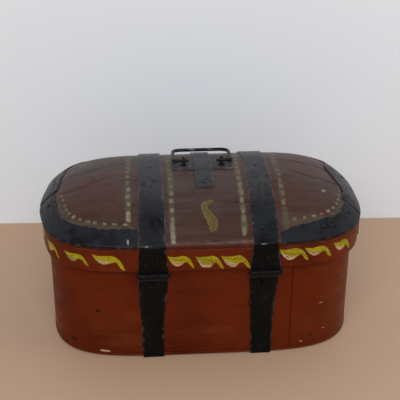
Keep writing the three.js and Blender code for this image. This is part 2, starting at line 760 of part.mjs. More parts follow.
function strapNails(side, centreX) {
  const lid = `lid_strap_${side}`;
  const body = `body_strap_${side}`;
  const wall = flangeProud - bodyInset;
  const dome = strapNailY.map((y, index) => nailAt(
    `nail_lid_${side}_${index + 1}`, domeStation(y)(centreX + (index - 1) * 5),
    plankNail, [lid, plankAt(y)]));
  const rims = [-1, 1].map((face) => nailAt(
    `nail_rim_${side}_${face < 0 ? 'front' : 'rear'}`, wallStation(face, 0, rimNailZ)(centreX + 4),
    hoopNail, [lid, 'lid_hoop']));
  const walls = wallNails.map(([face, z], index) => nailAt(
    `nail_body_${side}_${index + 1}`, wallStation(face, wall, z)(centreX - 3),
    hoopNail, [body, 'body_hoop']));
  return [...dome, ...rims, ...walls];
}

function edgeNails(name, width, ways) {
  return ways.map((way, index) => {
    const { point } = outlineAt(way, overhang - width * 0.55);
    const seat = domeStation(point.y)(point.x);
    return nailAt(`nail_${name}_${index + 1}`, seat, plankNail, [name, plankAt(point.y)]);
  });
}

const leftStrapX = ironCentre - strapSpacing / 2;
const rightStrapX = ironCentre + strapSpacing / 2;

const nails = [
  ...strapNails('left', leftStrapX),
  ...strapNails('right', rightStrapX),
  ...edgeNails('edge_iron_front_left', edgeIronWidth.front, [0.53, 0.6]),
  ...edgeNails('edge_iron_rear_left', edgeIronWidth.rear, [0.4, 0.47]),
  ...edgeNails('edge_iron_front_right', edgeIronWidth.front, [0.88, 0.93]),
  ...edgeNails('edge_iron_rear_right', edgeIronWidth.rear, [0.02, 0.11]),
  ...[-1, 1].map((end) => nailAt(
    `nail_handle_plate_${end < 0 ? 'left' : 'right'}`, domeStation(-6)(ironCentre + end * 43), plankNail,
    ['handle_plate', 'lid_plank_middle'])),
  nailAt('nail_centre_strap', domeStation(-52)(ironCentre), plankNail, ['centre_strap', 'lid_plank_front']),
  nailAt('nail_hasp_plate', wallStation(1, flangeProud - bodyInset, 110)(ironCentre), hoopNail,
    ['hasp_plate', 'body_hoop']),
];

function nailGeometry({ head, out, length }) {
  const { radius, height } = nailHead;
  return turned([
    [0, -length], [nailShank, 0], [radius, 0], [radius * 0.75, height * 0.7], [0, height],
  ], head, out, 8);
}

const nailHoleTool = ({ head, out, length }) => solidOf(turned([
  [0, -length - 0.6], [nailHole, -length - 0.6], [nailHole, 1], [0, 1],
], head, out, 6));

// Wooden pegs through the body hoop into the edge of the bottom board.
const pegHeight = (flangeTop + boardTop) / 2;
const pegs = peg.ways.map((way, index) => {
  const { point, normal } = outlineAt(way, peg.proud - bodyInset, bodyOutline);
  return {
    name: `peg_${index + 1}`,
    head: new THREE.Vector3(point.x, point.y, pegHeight),
    out: new THREE.Vector3(normal.x, normal.y, 0),
  };
});

const pegGeometry = ({ head, out }) => turned([
  [0, -peg.length], [peg.radius * 0.8, -peg.length], [peg.radius, 0], [0, 0],
], head, out, 10);

const pegHoleTool = ({ head, out }) => solidOf(turned([
  [0, -peg.length - 0.5], [peg.radius + gap, -peg.length - 0.5], [peg.radius + gap, 1], [0, 1],
], head, out, 10));

// ---- Assembly --------------------------------------------------------------------------------

const blank = lidBlank();
const solids = {
  bottom_board: bottomBoard(),
  body_hoop: bodyHoop(),
  body_strap_left: bodyStrap(leftStrapX),
  body_strap_right: bodyStrap(rightStrapX),
  hasp_plate: haspPlate(),
  hasp: hasp(),
  lid_hoop: cut(lidHoop(), ...stapleHoles),
  lid_plank_front: plank(blank, -halfDepth - 10, frontJoint),
  lid_plank_middle: plank(blank, frontJoint, rearJoint),
  lid_plank_rear: plank(blank, rearJoint, halfDepth + 10),
  lid_strap_left: lidStrap(leftStrapX),
  lid_strap_right: lidStrap(rightStrapX),
  edge_iron_front_left: edgeIron(...irons.front_left, () => edgeIronWidth.front),
  edge_iron_rear_left: edgeIron(...irons.rear_left, () => edgeIronWidth.rear),
  edge_iron_front_right: edgeIron(...irons.front_right, frontRightWidth),
  edge_iron_rear_right: edgeIron(...irons.rear_right, rearRightWidth),
  centre_strap: cut(centreStrap(), ...stapleHoles),
  handle_plate: handlePlateSolid(),
  bail_eye_left: bailEye(eyeX(-1)),
  bail_eye_right: bailEye(eyeX(1)),
  lock_staple: lockStaple(),
};

for (const each of nails) {
  for (const name of each.through) {
    solids[name] = cut(solids[name], nailHoleTool(each));
  }
}
for (const each of pegs) {
  for (const name of ['body_hoop', 'bottom_board']) {
    solids[name] = cut(solids[name], pegHoleTool(each));
  }
}
for (const end of [-1, 1]) {
  const radius = eye.stem + gap;
  const depth = 40;
  const below = new THREE.Vector3(eyeX(end), 0, crest - plankThickness - 10);
  const hole = solidOf(turned(
    [[0, 0], [radius, 0], [radius, depth], [0, depth]], below, new THREE.Vector3(0, 0, 1), 12));
  for (const name of ['handle_plate', 'lid_plank_middle']) {
    solids[name] = cut(solids[name], hole);
  }
}

const finishes = {
  hoop: new THREE.MeshStandardMaterial({ color: wood.hoop, roughness: 0.5, metalness: 0 }),
  plank: new THREE.MeshStandardMaterial({ color: wood.plank, roughness: 0.55, metalness: 0 }),
  raw: new THREE.MeshStandardMaterial({ color: wood.raw, roughness: 0.8, metalness: 0 }),
  iron: new THREE.MeshStandardMaterial({ color: forged, roughness: 0.45, metalness: 0.7 }),
};

function finishOf(name) {
  if (name.startsWith('lid_plank')) {
    return finishes.plank;
  }
  if (name.endsWith('_hoop')) {
    return finishes.hoop;
  }
  return name === 'bottom_board' || name.startsWith('peg') ? finishes.raw : finishes.iron;
}

const box = new THREE.Group();

function add(name, geometry) {
  const mesh = new THREE.Mesh(geometry, finishOf(name));
  mesh.name = name;
  box.add(mesh);
}

for (const [name, solid] of Object.entries(solids)) {
  add(name, geometryOf(solid));
}
add('hinge_pin_left', hingePin(-1, leftStrapX, strapWidth.hinge));
add('hinge_pin_right', hingePin(-1, rightStrapX, strapWidth.hinge));
add('hasp_pin', hingePin(1, ironCentre, haspHingeWidth));
add('bail_handle', bailHandle());
nails.forEach((each) => add(each.name, nailGeometry(each)));
pegs.forEach((each) => add(each.name, pegGeometry(each)));

// The staple reaches further out than the hinges, so the middle of the whole object is nearer to it.
const frontReach = hingeY + barrelRadius;
box.position.y = -(staple.reach - frontReach) / 2;

export default box;
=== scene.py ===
import itertools
import json
import math
import random
from functools import reduce

import bmesh
import bpy
import numpy as np
from mathutils import Matrix, Vector

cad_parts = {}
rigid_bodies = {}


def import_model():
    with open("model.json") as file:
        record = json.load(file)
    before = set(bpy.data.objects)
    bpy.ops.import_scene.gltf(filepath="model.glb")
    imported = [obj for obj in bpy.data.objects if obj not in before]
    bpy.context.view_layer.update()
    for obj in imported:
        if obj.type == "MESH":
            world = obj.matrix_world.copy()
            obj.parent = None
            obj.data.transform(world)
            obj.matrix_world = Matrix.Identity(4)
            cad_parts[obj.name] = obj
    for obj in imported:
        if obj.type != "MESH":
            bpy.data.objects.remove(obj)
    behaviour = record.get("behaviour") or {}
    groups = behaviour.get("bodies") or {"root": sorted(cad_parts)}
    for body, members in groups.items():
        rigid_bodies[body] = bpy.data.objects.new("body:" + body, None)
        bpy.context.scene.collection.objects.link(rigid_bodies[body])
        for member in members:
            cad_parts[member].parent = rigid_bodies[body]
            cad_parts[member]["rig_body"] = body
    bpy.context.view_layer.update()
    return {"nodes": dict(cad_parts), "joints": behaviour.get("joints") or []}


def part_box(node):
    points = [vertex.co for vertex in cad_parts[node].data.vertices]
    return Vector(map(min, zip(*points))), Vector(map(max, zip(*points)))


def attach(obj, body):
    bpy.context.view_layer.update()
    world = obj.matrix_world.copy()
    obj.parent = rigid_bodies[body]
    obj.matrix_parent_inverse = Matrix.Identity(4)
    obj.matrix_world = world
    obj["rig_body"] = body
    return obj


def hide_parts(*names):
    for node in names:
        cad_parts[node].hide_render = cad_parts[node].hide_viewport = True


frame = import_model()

mm = 0.001
chance = random.Random(11)

# ---- Sizes ------------------------------------------------------------------------------------

hoop_low, hoop_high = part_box("lid_hoop")
body_low, body_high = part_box("body_hoop")
board_low, board_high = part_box("bottom_board")
plank_low, plank_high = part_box("lid_plank_middle")

centre_y = (hoop_low.y + hoop_high.y) / 2
half_length = hoop_high.x
half_depth = (hoop_high.y - hoop_low.y) / 2
length_power = 4.5
depth_power = 2.8
splint = 5 * mm
body_inset = half_length - body_high.x
overhang = plank_high.x - half_length
plank_edge = 6.5 * mm
plank_thickness = 12 * mm
edge_bottom = plank_low.z
edge_top = hoop_high.z + 0.3 * mm + plank_edge
crest = plank_high.z
end_roundness = 1.18
side_roundness = 0.765

gap = 0.3 * mm
iron = 2 * mm
lap_proud = 1.2 * mm

sides = ("left", "right")
strap_x = {side: sum(corner.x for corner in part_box(f"lid_strap_{side}")) / 2 for side in sides}
iron_centre = (strap_x["left"] + strap_x["right"]) / 2
strap_widths = {"hinge": 47 * mm, "edge": 37 * mm, "crest": 35 * mm, "rear": 40 * mm, "foot": 33 * mm}
iron_widths = {"front": 24 * mm, "rear": 29 * mm, "narrow": 15 * mm, "belly": 46 * mm}
barrel_radius = 3.4 * mm
pin_bore = 1.8 * mm
middle_knuckle = 15 * mm
knuckle_gap = 0.6 * mm

joints = {joint["name"]: Vector(joint["pos_m"]) for joint in frame["joints"]}
hinge_y = centre_y - joints["lid_hinge"].y
hinge_z = joints["lid_hinge"].z

# Joints between the planks: (x, y) where each line bends. It opens into a crack towards both ends.
front_joint = [(-252, -27), (-222, -28), (-198, -40), (-177, -39), (-151, -29), (-100, -31), (0, -33),
               (100, -27), (143, -20), (176, -34), (220, -29), (252, -27)]
rear_joint = [(-252, 14), (-204, 15), (-187, 5), (-139, 15), (0, 12), (149, 20), (176, 11), (252, 14)]

# ---- Outline and dome --------------------------------------------------------------------------


def clamp(value):
    return np.clip(value, 0, 1)


def mix(start, end, share):
    return start + (end - start) * share


def unit(vectors):
    return vectors / np.linalg.norm(vectors, axis=-1, keepdims=True)


def points_at(x, y, z):
    """Points from their coordinates. Each is an array, or one number for all the points."""
    return np.stack(np.broadcast_arrays(x, y, z), -1)


def run_along(points):
    """Distance along a line of points, from its first."""
    return np.concatenate([[0], np.cumsum(np.linalg.norm(np.diff(points, axis=0), axis=-1))])


def mound(distance, reach):
    """1 where distance is 0, falling away smoothly over this reach."""
    return np.exp(-(distance / reach) ** 2)


# The lid has sprung in a little on both sides of its left end: (y, how far, half run)
sprung = [(50 * mm, 3 * mm, 30 * mm), (-66 * mm, 3 * mm, 32 * mm)]


def squeeze(x, y):
    """How far the lid's left half is drawn towards the middle at y, as a share of its length."""
    drawn = sum(depth / half_length * mound(y - middle, run) for middle, depth, run in sprung)
    return np.where(x < 0, 1 - drawn, 1)


def superellipse(t):
    """The body's outline: its sides are fuller than an ellipse's. t runs from 0 to 1 round it."""
    cos, sin = np.cos(2 * np.pi * t), np.sin(2 * np.pi * t)
    x = np.sign(cos) * half_length * np.abs(cos) ** (2 / length_power)
    y = np.sign(sin) * half_depth * np.abs(sin) ** (2 / depth_power)
    return x, y


table_t = np.linspace(0, 1, 8001)
table_x, table_y = superellipse(table_t)
table_run = np.concatenate([[0], np.cumsum(np.hypot(np.diff(table_x), np.diff(table_y)))])
perimeter = table_run[-1]
table_way = table_run / perimeter
quarter = len(table_t) // 4 + 1


def body_outline(way, offset=0.0):
    """Points a share of the way round the box, moved out by offset, and the outline's normals there."""
    x, y = superellipse(np.interp(np.mod(way, 1), table_way, table_t))
    normal_x = np.sign(x) * length_power / half_length * (np.abs(x) / half_length) ** (length_power - 1)
    normal_y = np.sign(y) * depth_power / half_depth * (np.abs(y) / half_depth) ** (depth_power - 1)
    size = np.hypot(normal_x, normal_y)
    normal_x, normal_y = normal_x / size, normal_y / size
    return x + normal_x * offset, y + normal_y * offset, normal_x, normal_y


def outline(way, offset=0.0):
    """The same on the lid, measured from its hoop's outer face."""
    x, y, normal_x, normal_y = body_outline(way)
    x = x * squeeze(x, y)
    return x + normal_x * offset, y + normal_y * offset, normal_x, normal_y


def way_at(x, side):
    """How far round the outline a long side reaches x; side is -1 for the hinge side."""
    half = table_way >= 0.5 if side < 0 else table_way <= 0.5
    order = np.argsort(table_x[half])
    return np.interp(x, table_x[half][order], table_way[half][order])


def depth_at(x, offset):
    """How far out from the middle the box reaches at x, moved out by offset."""
    return half_depth * (1 - clamp(np.abs(x) / half_length) ** length_power) ** (1 / depth_power) + offset


def outline_shares(x, y):
    """The two parts of the superellipse's sum, which is 1 on the planks' edge."""
    along = (np.abs(x) / ((half_length + overhang) * squeeze(x, y))) ** length_power
    return along, (np.abs(y) / (half_depth + overhang)) ** depth_power


def dome_height(x, y):
    along, across = outline_shares(x, y)
    share = across / np.maximum(along + across, 1e-12)
    level = (along + across) ** (end_roundness + (side_roundness - end_roundness) * share)
    return edge_top + (crest - edge_top) * (1 - level)


def dome_normal(x, y):
    step = 0.5 * mm
    slope_x = (dome_height(x - step, y) - dome_height(x + step, y)) / (2 * step)
    slope_y = (dome_height(x, y - step) - dome_height(x, y + step)) / (2 * step)
    return unit(points_at(slope_x, slope_y, 1.0))


def on_dome(x, y, lift):
    """Points lifted off the true dome along its normal."""
    lift = np.broadcast_to(lift, np.shape(x))
    return points_at(x, y, dome_height(x, y)) + dome_normal(x, y) * lift[..., None]


def lumps(points, size, seed):
    """Smooth unevenness from -1 to 1 with bumps about this far apart."""
    cell = points / size
    base = np.floor(cell)
    part = cell - base
    part = part * part * (3 - 2 * part)
    total = np.zeros(points.shape[:-1])
    # Each corner of the cell has its own number, which only looks random
    for corner in itertools.product((0, 1), repeat=3):
        spin = np.sin((base + corner) @ (12.9898, 78.233, 37.719) + seed) * 43758.5453
        weight = np.prod(np.where(corner, part, 1 - part), axis=-1)
        total += weight * (2 * (spin - np.floor(spin)) - 1)
    return total


def along_lumps(run, size, seed):
    """The same along a line: run is the distance along it."""
    return lumps(points_at(run, 0, 0), size, seed)


def planed(x, y):
    """How far the planed and painted planks lie below the true dome."""
    return 0.12 * mm + 0.28 * mm * (1 + lumps(points_at(x / 3, y, 0), 14 * mm, 3)) / 2


def plank_point(x, y, lift=0.0):
    """Points lifted off the planks' upper face."""
    return on_dome(x, y, np.broadcast_to(lift, np.shape(x)) - planed(x, y))


# ---- Meshes ------------------------------------------------------------------------------------


class Shape:
    """Points, faces and values at the points, which become one mesh. A face's mark picks its material."""

    def __init__(self, points, faces, marks=None, **values):
        self.points = np.asarray(points, float).reshape(-1, 3)
        self.faces = [tuple(int(index) for index in face) for face in faces]
        self.marks = [0] * len(self.faces) if marks is None else list(marks)
        self.values = {name: np.asarray(value, float).reshape(-1) for name, value in values.items()}

    def __add__(self, other):
        shift = len(self.points)
        both = Shape(
            np.concatenate([self.points, other.points]),
            self.faces + [tuple(index + shift for index in face) for face in other.faces],
            self.marks + other.marks)
        for name in set(self.values) | set(other.values):
            here = self.values.get(name, np.zeros(len(self.points)))
            there = other.values.get(name, np.zeros(len(other.points)))
            both.values[name] = np.concatenate([here, there])
        return both


def grid_quads(index):
    """The four-sided faces of a grid of point numbers."""
    corners = index[:-1, :-1], index[:-1, 1:], index[1:, 1:], index[1:, :-1]
    return np.stack(corners, -1).reshape(-1, 4)


def plate(base, out, height, ring=False, **values):
    """A plate whose lower face is a grid of points and whose upper face stands height along out."""
    rows, columns = base.shape[:2]
    count = rows * columns
    top = base + out * np.broadcast_to(height, (rows, columns))[..., None]
    index = np.arange(count).reshape(rows, columns)
    if ring:
        index = np.concatenate([index, index[:1]])
    upper = grid_quads(index)
    edges = [(index[:, 0], index[:, 0] + count), (index[:, -1] + count, index[:, -1])]
    if not ring:
        edges += [(index[0] + count, index[0]), (index[-1], index[-1] + count)]
    walls = np.concatenate([grid_quads(np.stack(edge, -1)) for edge in edges])
    faces = np.concatenate([upper, upper[:, ::-1] + count, walls])
    marks = [0] * len(upper) + [1] * len(upper) + [0] * len(walls)
    spread = {name: np.tile(np.broadcast_to(value, (rows, columns)).reshape(-1), 2)
              for name, value in values.items()}
    return Shape(np.concatenate([top.reshape(-1, 3), base.reshape(-1, 3)]), faces, marks, **spread)


def tube(path, ring=False, **values):
    """Rings of points joined into a tube: path is a grid with one closed ring of points in each row."""
    rows, columns = path.shape[:2]
    index = np.arange(rows * columns).reshape(rows, columns)
    wrapped = np.concatenate([index, index[:, :1]], 1)
    if ring:
        wrapped = np.concatenate([wrapped, wrapped[:1]])
    faces = list(grid_quads(wrapped))
    if not ring:
        faces += [index[0][::-1], index[-1]]
    return Shape(path, faces, None, **values)


def circle(count):
    """Cosines and sines of count equal steps round a circle."""
    angles = np.arange(count) * 2 * np.pi / count
    return np.cos(angles), np.sin(angles)


def lathe(profile, base, axis, count=24):
    """A profile of (radius, height) pairs, from axis to axis, turned about an axis through base."""
    axis = unit(np.asarray(axis, float))
    first = unit(np.cross(axis, (1, 0, 0) if abs(axis[0]) < 0.9 else (0, 1, 0)))
    cos, sin = circle(count)
    ring = cos[:, None] * first + sin[:, None] * np.cross(axis, first)
    return tube(np.stack([np.asarray(base) + axis * height + ring * radius for radius, height in profile]))


def along_x(profile, start_x):
    """A closed profile of (x, radius) pairs turned about the x axis: a pierced barrel."""
    cos, sin = circle(28)
    rings = [points_at(start_x + x, cos * radius, sin * radius) for x, radius in profile]
    return tube(np.array(rings), ring=True)


def rounded(distance, radius):
    """0.3 at an edge and 1 from radius inwards, along a quarter circle."""
    share = clamp(distance / radius)
    return 0.3 + 0.7 * np.sqrt(1 - (1 - share) ** 2)


def into_scene(name, data):
    thing = bpy.data.objects.new(name, data)
    bpy.context.scene.collection.objects.link(thing)
    return thing


def add_piece(name, shape, body, materials, slot, *replaced, sharp=40):
    """Makes the mesh object, in the frame, riding on its body and standing for the CAD nodes it replaces."""
    mesh = bpy.data.meshes.new(name)
    mesh.from_pydata((shape.points + (0, centre_y, 0)).tolist(), [], shape.faces)
    for material in materials:
        mesh.materials.append(material)
    if len(materials) > 1:
        mesh.polygons.foreach_set("material_index", shape.marks)
    for value_name, value in shape.values.items():
        layer = mesh.attributes.new(value_name, "FLOAT", "POINT")
        layer.data.foreach_set("value", value.astype(np.float32))
    work = bmesh.new()
    work.from_mesh(mesh)
    bmesh.ops.recalc_face_normals(work, faces=work.faces)
    work.to_mesh(mesh)
    work.free()
    mesh.shade_smooth()
    mesh.set_sharp_from_angle(angle=math.radians(sharp))
    piece = into_scene(name, mesh)
    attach(piece, body)
    if replaced:
        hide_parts(*replaced)


# ---- Material nodes ----------------------------------------------------------------------------


class Value:
    """What a shader works out at each point of the surface. Numbers add and multiply like any other."""

    def __init__(self, finish, socket):
        self.finish = finish
        self.socket = socket

    def __add__(self, other):
        return self.finish.math("ADD", self, other)

    def __sub__(self, other):
        return self.finish.math("SUBTRACT", self, other)

    def __mul__(self, other):
        return self.finish.math("MULTIPLY", self, other)

    def __abs__(self):
        return self.finish.math("ABSOLUTE", self)

    def most(self, other):
        return self.finish.math("MAXIMUM", self, other)

    def least(self, other):
        return self.finish.math("MINIMUM", self, other)

    def rise(self, low, high):
        """0 below low, 1 above high and smooth between; with low above high it falls instead."""
        falls = low > high
        inputs = {"Value": self, "From Min": min(low, high), "From Max": max(low, high),
                  "To Min": 1.0 if falls else 0.0, "To Max": 0.0 if falls else 1.0}
        return self.finish.add("ShaderNodeMapRange", inputs, "Result", interpolation_type="SMOOTHSTEP")

    def between(self, low, high):
        """The number low where this is 0 and high where it is 1."""
        return self * (high - low) + low


class Finish:
    """A material's node tree, with one short call for each kind of node that the finishes use."""

    def __init__(self, name):
        self.material = bpy.data.materials.new(name)
        self.material.use_nodes = True
        self.nodes = self.material.node_tree.nodes
        self.shader = self.nodes["Principled BSDF"]
        self.place = self.add("ShaderNodeTexCoord", {}, "Object")

    def plug(self, socket, value):
        if isinstance(value, Value):
            self.material.node_tree.links.new(value.socket, socket)
        elif socket.type == "RGBA":
            socket.default_value = (*value, 1)
        else:
            socket.default_value = value

    def add(self, kind, inputs, output=0, **settings):
        """A new node with its settings and inputs in place. Returns what one of its outputs gives."""
        node = self.nodes.new(kind)
        for name, setting in settings.items():
            setattr(node, name, setting)
        for name, value in inputs.items():
            self.plug(node.inputs[name], value)
        return Value(self, node.outputs[output])

    def math(self, operation, first, second=0.0):
        return self.add("ShaderNodeMath", {0: first, 1: second}, operation=operation)

    def noise(self, size, detail, stretch=(1, 1, 1), roughness=0.55, twist=0.0):
        scale = [1 / share for share in stretch]
        place = self.add("ShaderNodeMapping", {"Vector": self.place, "Scale": scale})
        inputs = {"Vector": place, "Scale": 1 / size, "Detail": detail, "Roughness": roughness,
                  "Distortion": twist}
        return self.add("ShaderNodeTexNoise", inputs, "Fac")

    def mix(self, factor, first, second):
        return self.add("ShaderNodeMix", {"Factor": factor, 6: first, 7: second}, 2, data_type="RGBA")

    def coats(self, ground, *coats):
        """The ground colour with coats laid over it in turn, each (how much of it covers, its colour)."""
        for cover, colour in coats:
            ground = self.mix(cover, ground, colour)
        return ground

    def value(self, name):
        return self.add("ShaderNodeAttribute", {}, "Fac", attribute_name=name)

    def axes(self):
        return [self.add("ShaderNodeSeparateXYZ", {0: self.place}, axis) for axis in range(3)]

    def bump(self, *layers):
        """Layers of (height, depth in metres), the finest last."""
        below = {}
        for height, depth in layers:
            inputs = {"Height": height, "Distance": depth, **below}
            below = {"Normal": self.add("ShaderNodeBump", inputs, "Normal")}
        self.plug(self.shader.inputs["Normal"], below["Normal"])

    def close(self, colour, roughness, metallic=0.0, specular=0.5, dust_and_sheen=0.0):
        inputs = {"Base Color": colour, "Roughness": roughness, "Metallic": metallic,
                  "Specular IOR Level": specular, "Sheen Weight": dust_and_sheen, "Sheen Roughness": 0.35}
        for name, value in inputs.items():
            self.plug(self.shader.inputs[name], value)
        return self.material


# ---- Finishes ----------------------------------------------------------------------------------

purple_brown = (0.043, 0.0190, 0.0130)
red_brown = (0.058, 0.0165, 0.0105)
# Greyish brown: random streaks, and the dust and painted sheen towards the lid's crest
greyish_brown = (0.090, 0.078, 0.076)
olive = (0.080, 0.068, 0.034)
tan = (0.19, 0.145, 0.095)
hoop_red = (0.110, 0.0135, 0.0012)
hoop_dark = (0.062, 0.0064, 0.0009)
hoop_pale = (0.160, 0.038, 0.010)
# Pale pink of edge wear and of painted edge highlights
worn_and_lit_pink = (0.24, 0.125, 0.095)
bare_wood = (0.46, 0.29, 0.15)
grain_brown = (0.026, 0.013, 0.01)
raw_pale = (0.3, 0.19, 0.1)
raw_brown = (0.18, 0.1, 0.047)
raw_stain = (0.09, 0.05, 0.026)
raw_fibre = (0.37, 0.25, 0.145)
dab_olive = (0.092, 0.084, 0.04)
dab_white = (0.27, 0.25, 0.175)
soot = (0.010, 0.004, 0.003)
black_iron = (0.0008, 0.0007, 0.0006)
# slate_iron: painted sky sheen on the straps' upper faces
slate_iron = (0.0115, 0.0135, 0.0175)
# Grey of the crest's dust and painted crest sheen
dust_and_sheen_grey = (0.085, 0.083, 0.084)
bright_iron = (0.36, 0.35, 0.34)
rust = (0.028, 0.010, 0.004)

# Marks on the hinge side of the body: (x, z, half width, half height) in millimetres
dark_marks = [(-164, 83, 3.4, 2.4), (-205, 21, 4.5, 4.0), (66, 93, 1.2, 4.5), (165, 24, 3.2, 1.8)]
scratches = [(55, 88, 13, 0.5), (57, 83.5, 8, 0.4), (123, 138, 11, 0.5), (-70, 60, 9, 0.4)]
bare_chips = [(-157, 9.6, 8.5, 1.9), (181, 80, 3.4, 0.6), (188, 31, 2.4, 0.6), (151, 15, 2.8, 0.8)]

dab_columns = [-113 * mm, -48 * mm, 58 * mm, 121 * mm]
dab_border = 29.5 * mm


def strap_distance(x):
    """Distance from the nearer lid strap's long edge, negative under the strap."""
    left, right = (abs(x - centre) for centre in strap_x.values())
    return left.least(right) - strap_widths["crest"] / 2


def plank_bands(finish, x, wander):
    """1 in the olive bands that carry the dabs: beside the straps and inside the edge irons."""
    bands = [abs(x + wander - column).rise(5.5 * mm, 3.5 * mm) for column in dab_columns]
    border = abs(finish.value("inset") + wander - dab_border).rise(7 * mm, 3 * mm) * finish.value("end_panel")
    return reduce(Value.most, bands).most(border * 0.7)


def painted_planks():
    finish = Finish("painted_planks")
    x, _, z = finish.axes()
    broad = finish.noise(0.09, 4, (2, 1, 1))
    blotch = finish.noise(0.022, 5, (1.6, 1, 1))
    grain = finish.noise(0.0022, 4, (28, 1, 1))
    fine = finish.noise(0.0009, 3, (3, 1, 1))
    streak = finish.noise(0.01, 4, (12, 1, 1))
    wander = (finish.noise(0.012, 3) - 0.5) * (5 * mm)
    bands = plank_bands(finish, x, wander) * blotch.rise(0.3, 0.55)
    edge_line = strap_distance(x).rise(1.6 * mm, 0.9 * mm) * blotch.rise(0.36, 0.55)
    # Dust towards the crest, and a painted grey sheen where the dome turns up to the light.
    dust_and_sheen = finish.value("crown") * blotch.rise(0.25, 0.75)
    # Along the rounded edge: edge wear and a painted highlight, in patches.
    rim = finish.value("rim") * finish.noise(0.011, 4, (3, 1, 1)).rise(0.42, 0.6)
    # The planks' edge face is painted red-brown like the hoop; the band 0.8 to 2.6 mm in over the rounded
    # edge is painted shade where the edge turns down.
    side = z.rise(edge_top, edge_top - 1.5 * mm).most(finish.value("inset").rise(2.6 * mm, 0.8 * mm))
    checked = finish.noise(0.0028, 4, (18, 1, 1), 0.6, 0.5).rise(0.4, 0.36) * x.rise(150 * mm, 210 * mm)
    crack = finish.noise(0.0035, 5, (22, 1, 1), 0.6, 0.3).rise(0.335, 0.3).most(checked)
    chips = finish.noise(0.004, 4).rise(0.71, 0.74)
    colour = finish.coats(
        purple_brown, (broad.rise(0.38, 0.62), red_brown), (streak.rise(0.45, 0.75) * 0.2, greyish_brown),
        (bands * 0.75, olive), (edge_line * 0.7, tan), (dust_and_sheen * 0.5, greyish_brown), (rim * 0.55, worn_and_lit_pink),
        (side * 0.85, hoop_dark), (crack * 0.8, soot), (chips * 0.5, tan),
        (grain.rise(0.35, 0.75) * 0.25, grain_brown))
    waves = finish.noise(0.03, 2, (2, 1, 1))
    finish.bump((waves, 0.6 * mm), (grain, 0.25 * mm), (crack, -0.35 * mm), (fine, 0.06 * mm))
    return finish.close(colour, blotch.rise(0.3, 0.7).between(0.38, 0.58), specular=0.16, dust_and_sheen=0.05)


def marks_on_front(finish, marks, ragged):
    """1 inside any of the ragged oval marks, on the hinge side only."""
    x, y, z = finish.axes()
    found = []
    for middle_x, middle_z, half_x, half_z in marks:
        across = (x - middle_x * mm) * (1 / (half_x * mm))
        up = (z - middle_z * mm) * (1 / (half_z * mm))
        away = finish.math("SQRT", across * across + up * up)
        found.append((away + ragged).rise(1.15, 0.85))
    return reduce(Value.most, found) * y.rise(-60 * mm, -80 * mm)


def painted_hoop():
    finish = Finish("painted_hoop")
    x, _, _ = finish.axes()
    broad = finish.noise(0.11, 4)
    grain = finish.noise(0.007, 5, (12, 12, 1))
    fine_grain = finish.noise(0.0014, 3, (24, 24, 1))
    blotch = finish.noise(0.018, 5)
    faded = finish.noise(0.03, 4, (3, 3, 1)).rise(0.52, 0.78) * 0.4
    # Painted sheen: paler towards the right end, following the grain.
    right_end_sheen = x.rise(160 * mm, 240 * mm) * grain.rise(0.3, 0.6)
    scratch = finish.noise(0.0028, 4, (26, 26, 1), 0.6, 0.4).rise(0.3, 0.275)
    chips = finish.noise(0.0075, 5).rise(0.745, 0.76)
    # Along the top edges: edge wear and a painted highlight, in patches.
    rim = finish.value("rim") * finish.noise(0.009, 4).rise(0.38, 0.58)
    rubbed = finish.value("foot") * finish.noise(0.01, 4, (2, 2, 1)).rise(0.62, 0.66)
    # Darker towards the foot, in blotches.
    darker_at_foot = finish.value("foot") * blotch.rise(0.25, 0.6)
    ragged = (finish.noise(0.004, 3) - 0.5) * 1.6
    dark = marks_on_front(finish, dark_marks + scratches, ragged)
    bare = marks_on_front(finish, bare_chips, ragged)
    colour = finish.coats(
        hoop_dark, (broad.rise(0.32, 0.62), hoop_red), (grain.rise(0.36, 0.66) * 0.55, hoop_red),
        (faded, hoop_pale), (right_end_sheen * 0.5, hoop_pale), (scratch * 0.5, soot), (chips * 0.6, hoop_pale),
        (rim * 0.5, worn_and_lit_pink), (rubbed * 0.45, hoop_pale), (darker_at_foot * 0.45, hoop_dark), (dark * 0.75, soot),
        (bare, bare_wood))
    finish.bump(
        (finish.noise(0.035, 2), 0.5 * mm), (grain, 0.25 * mm), (fine_grain, 0.08 * mm),
        (scratch.most(dark).most(bare), -0.25 * mm), (finish.noise(0.0015, 3), 0.04 * mm))
    return finish.close(colour, blotch.rise(0.3, 0.7).between(0.34, 0.52), specular=0.11)


def raw_wood(name, grain_stretch):
    finish = Finish(name)
    rings = finish.noise(0.0035, 4, grain_stretch, 0.6, 0.6)
    fibre = finish.noise(0.0008, 3, grain_stretch)
    stain = finish.noise(0.06, 5)
    colour = finish.coats(
        raw_pale, (rings.rise(0.35, 0.65), raw_brown), (stain.rise(0.42, 0.65) * 0.55, raw_stain),
        (fibre.rise(0.5, 0.8) * 0.3, raw_fibre))
    finish.bump((rings, 0.25 * mm), (fibre, 0.12 * mm))
    return finish.close(colour, rings.between(0.62, 0.82))


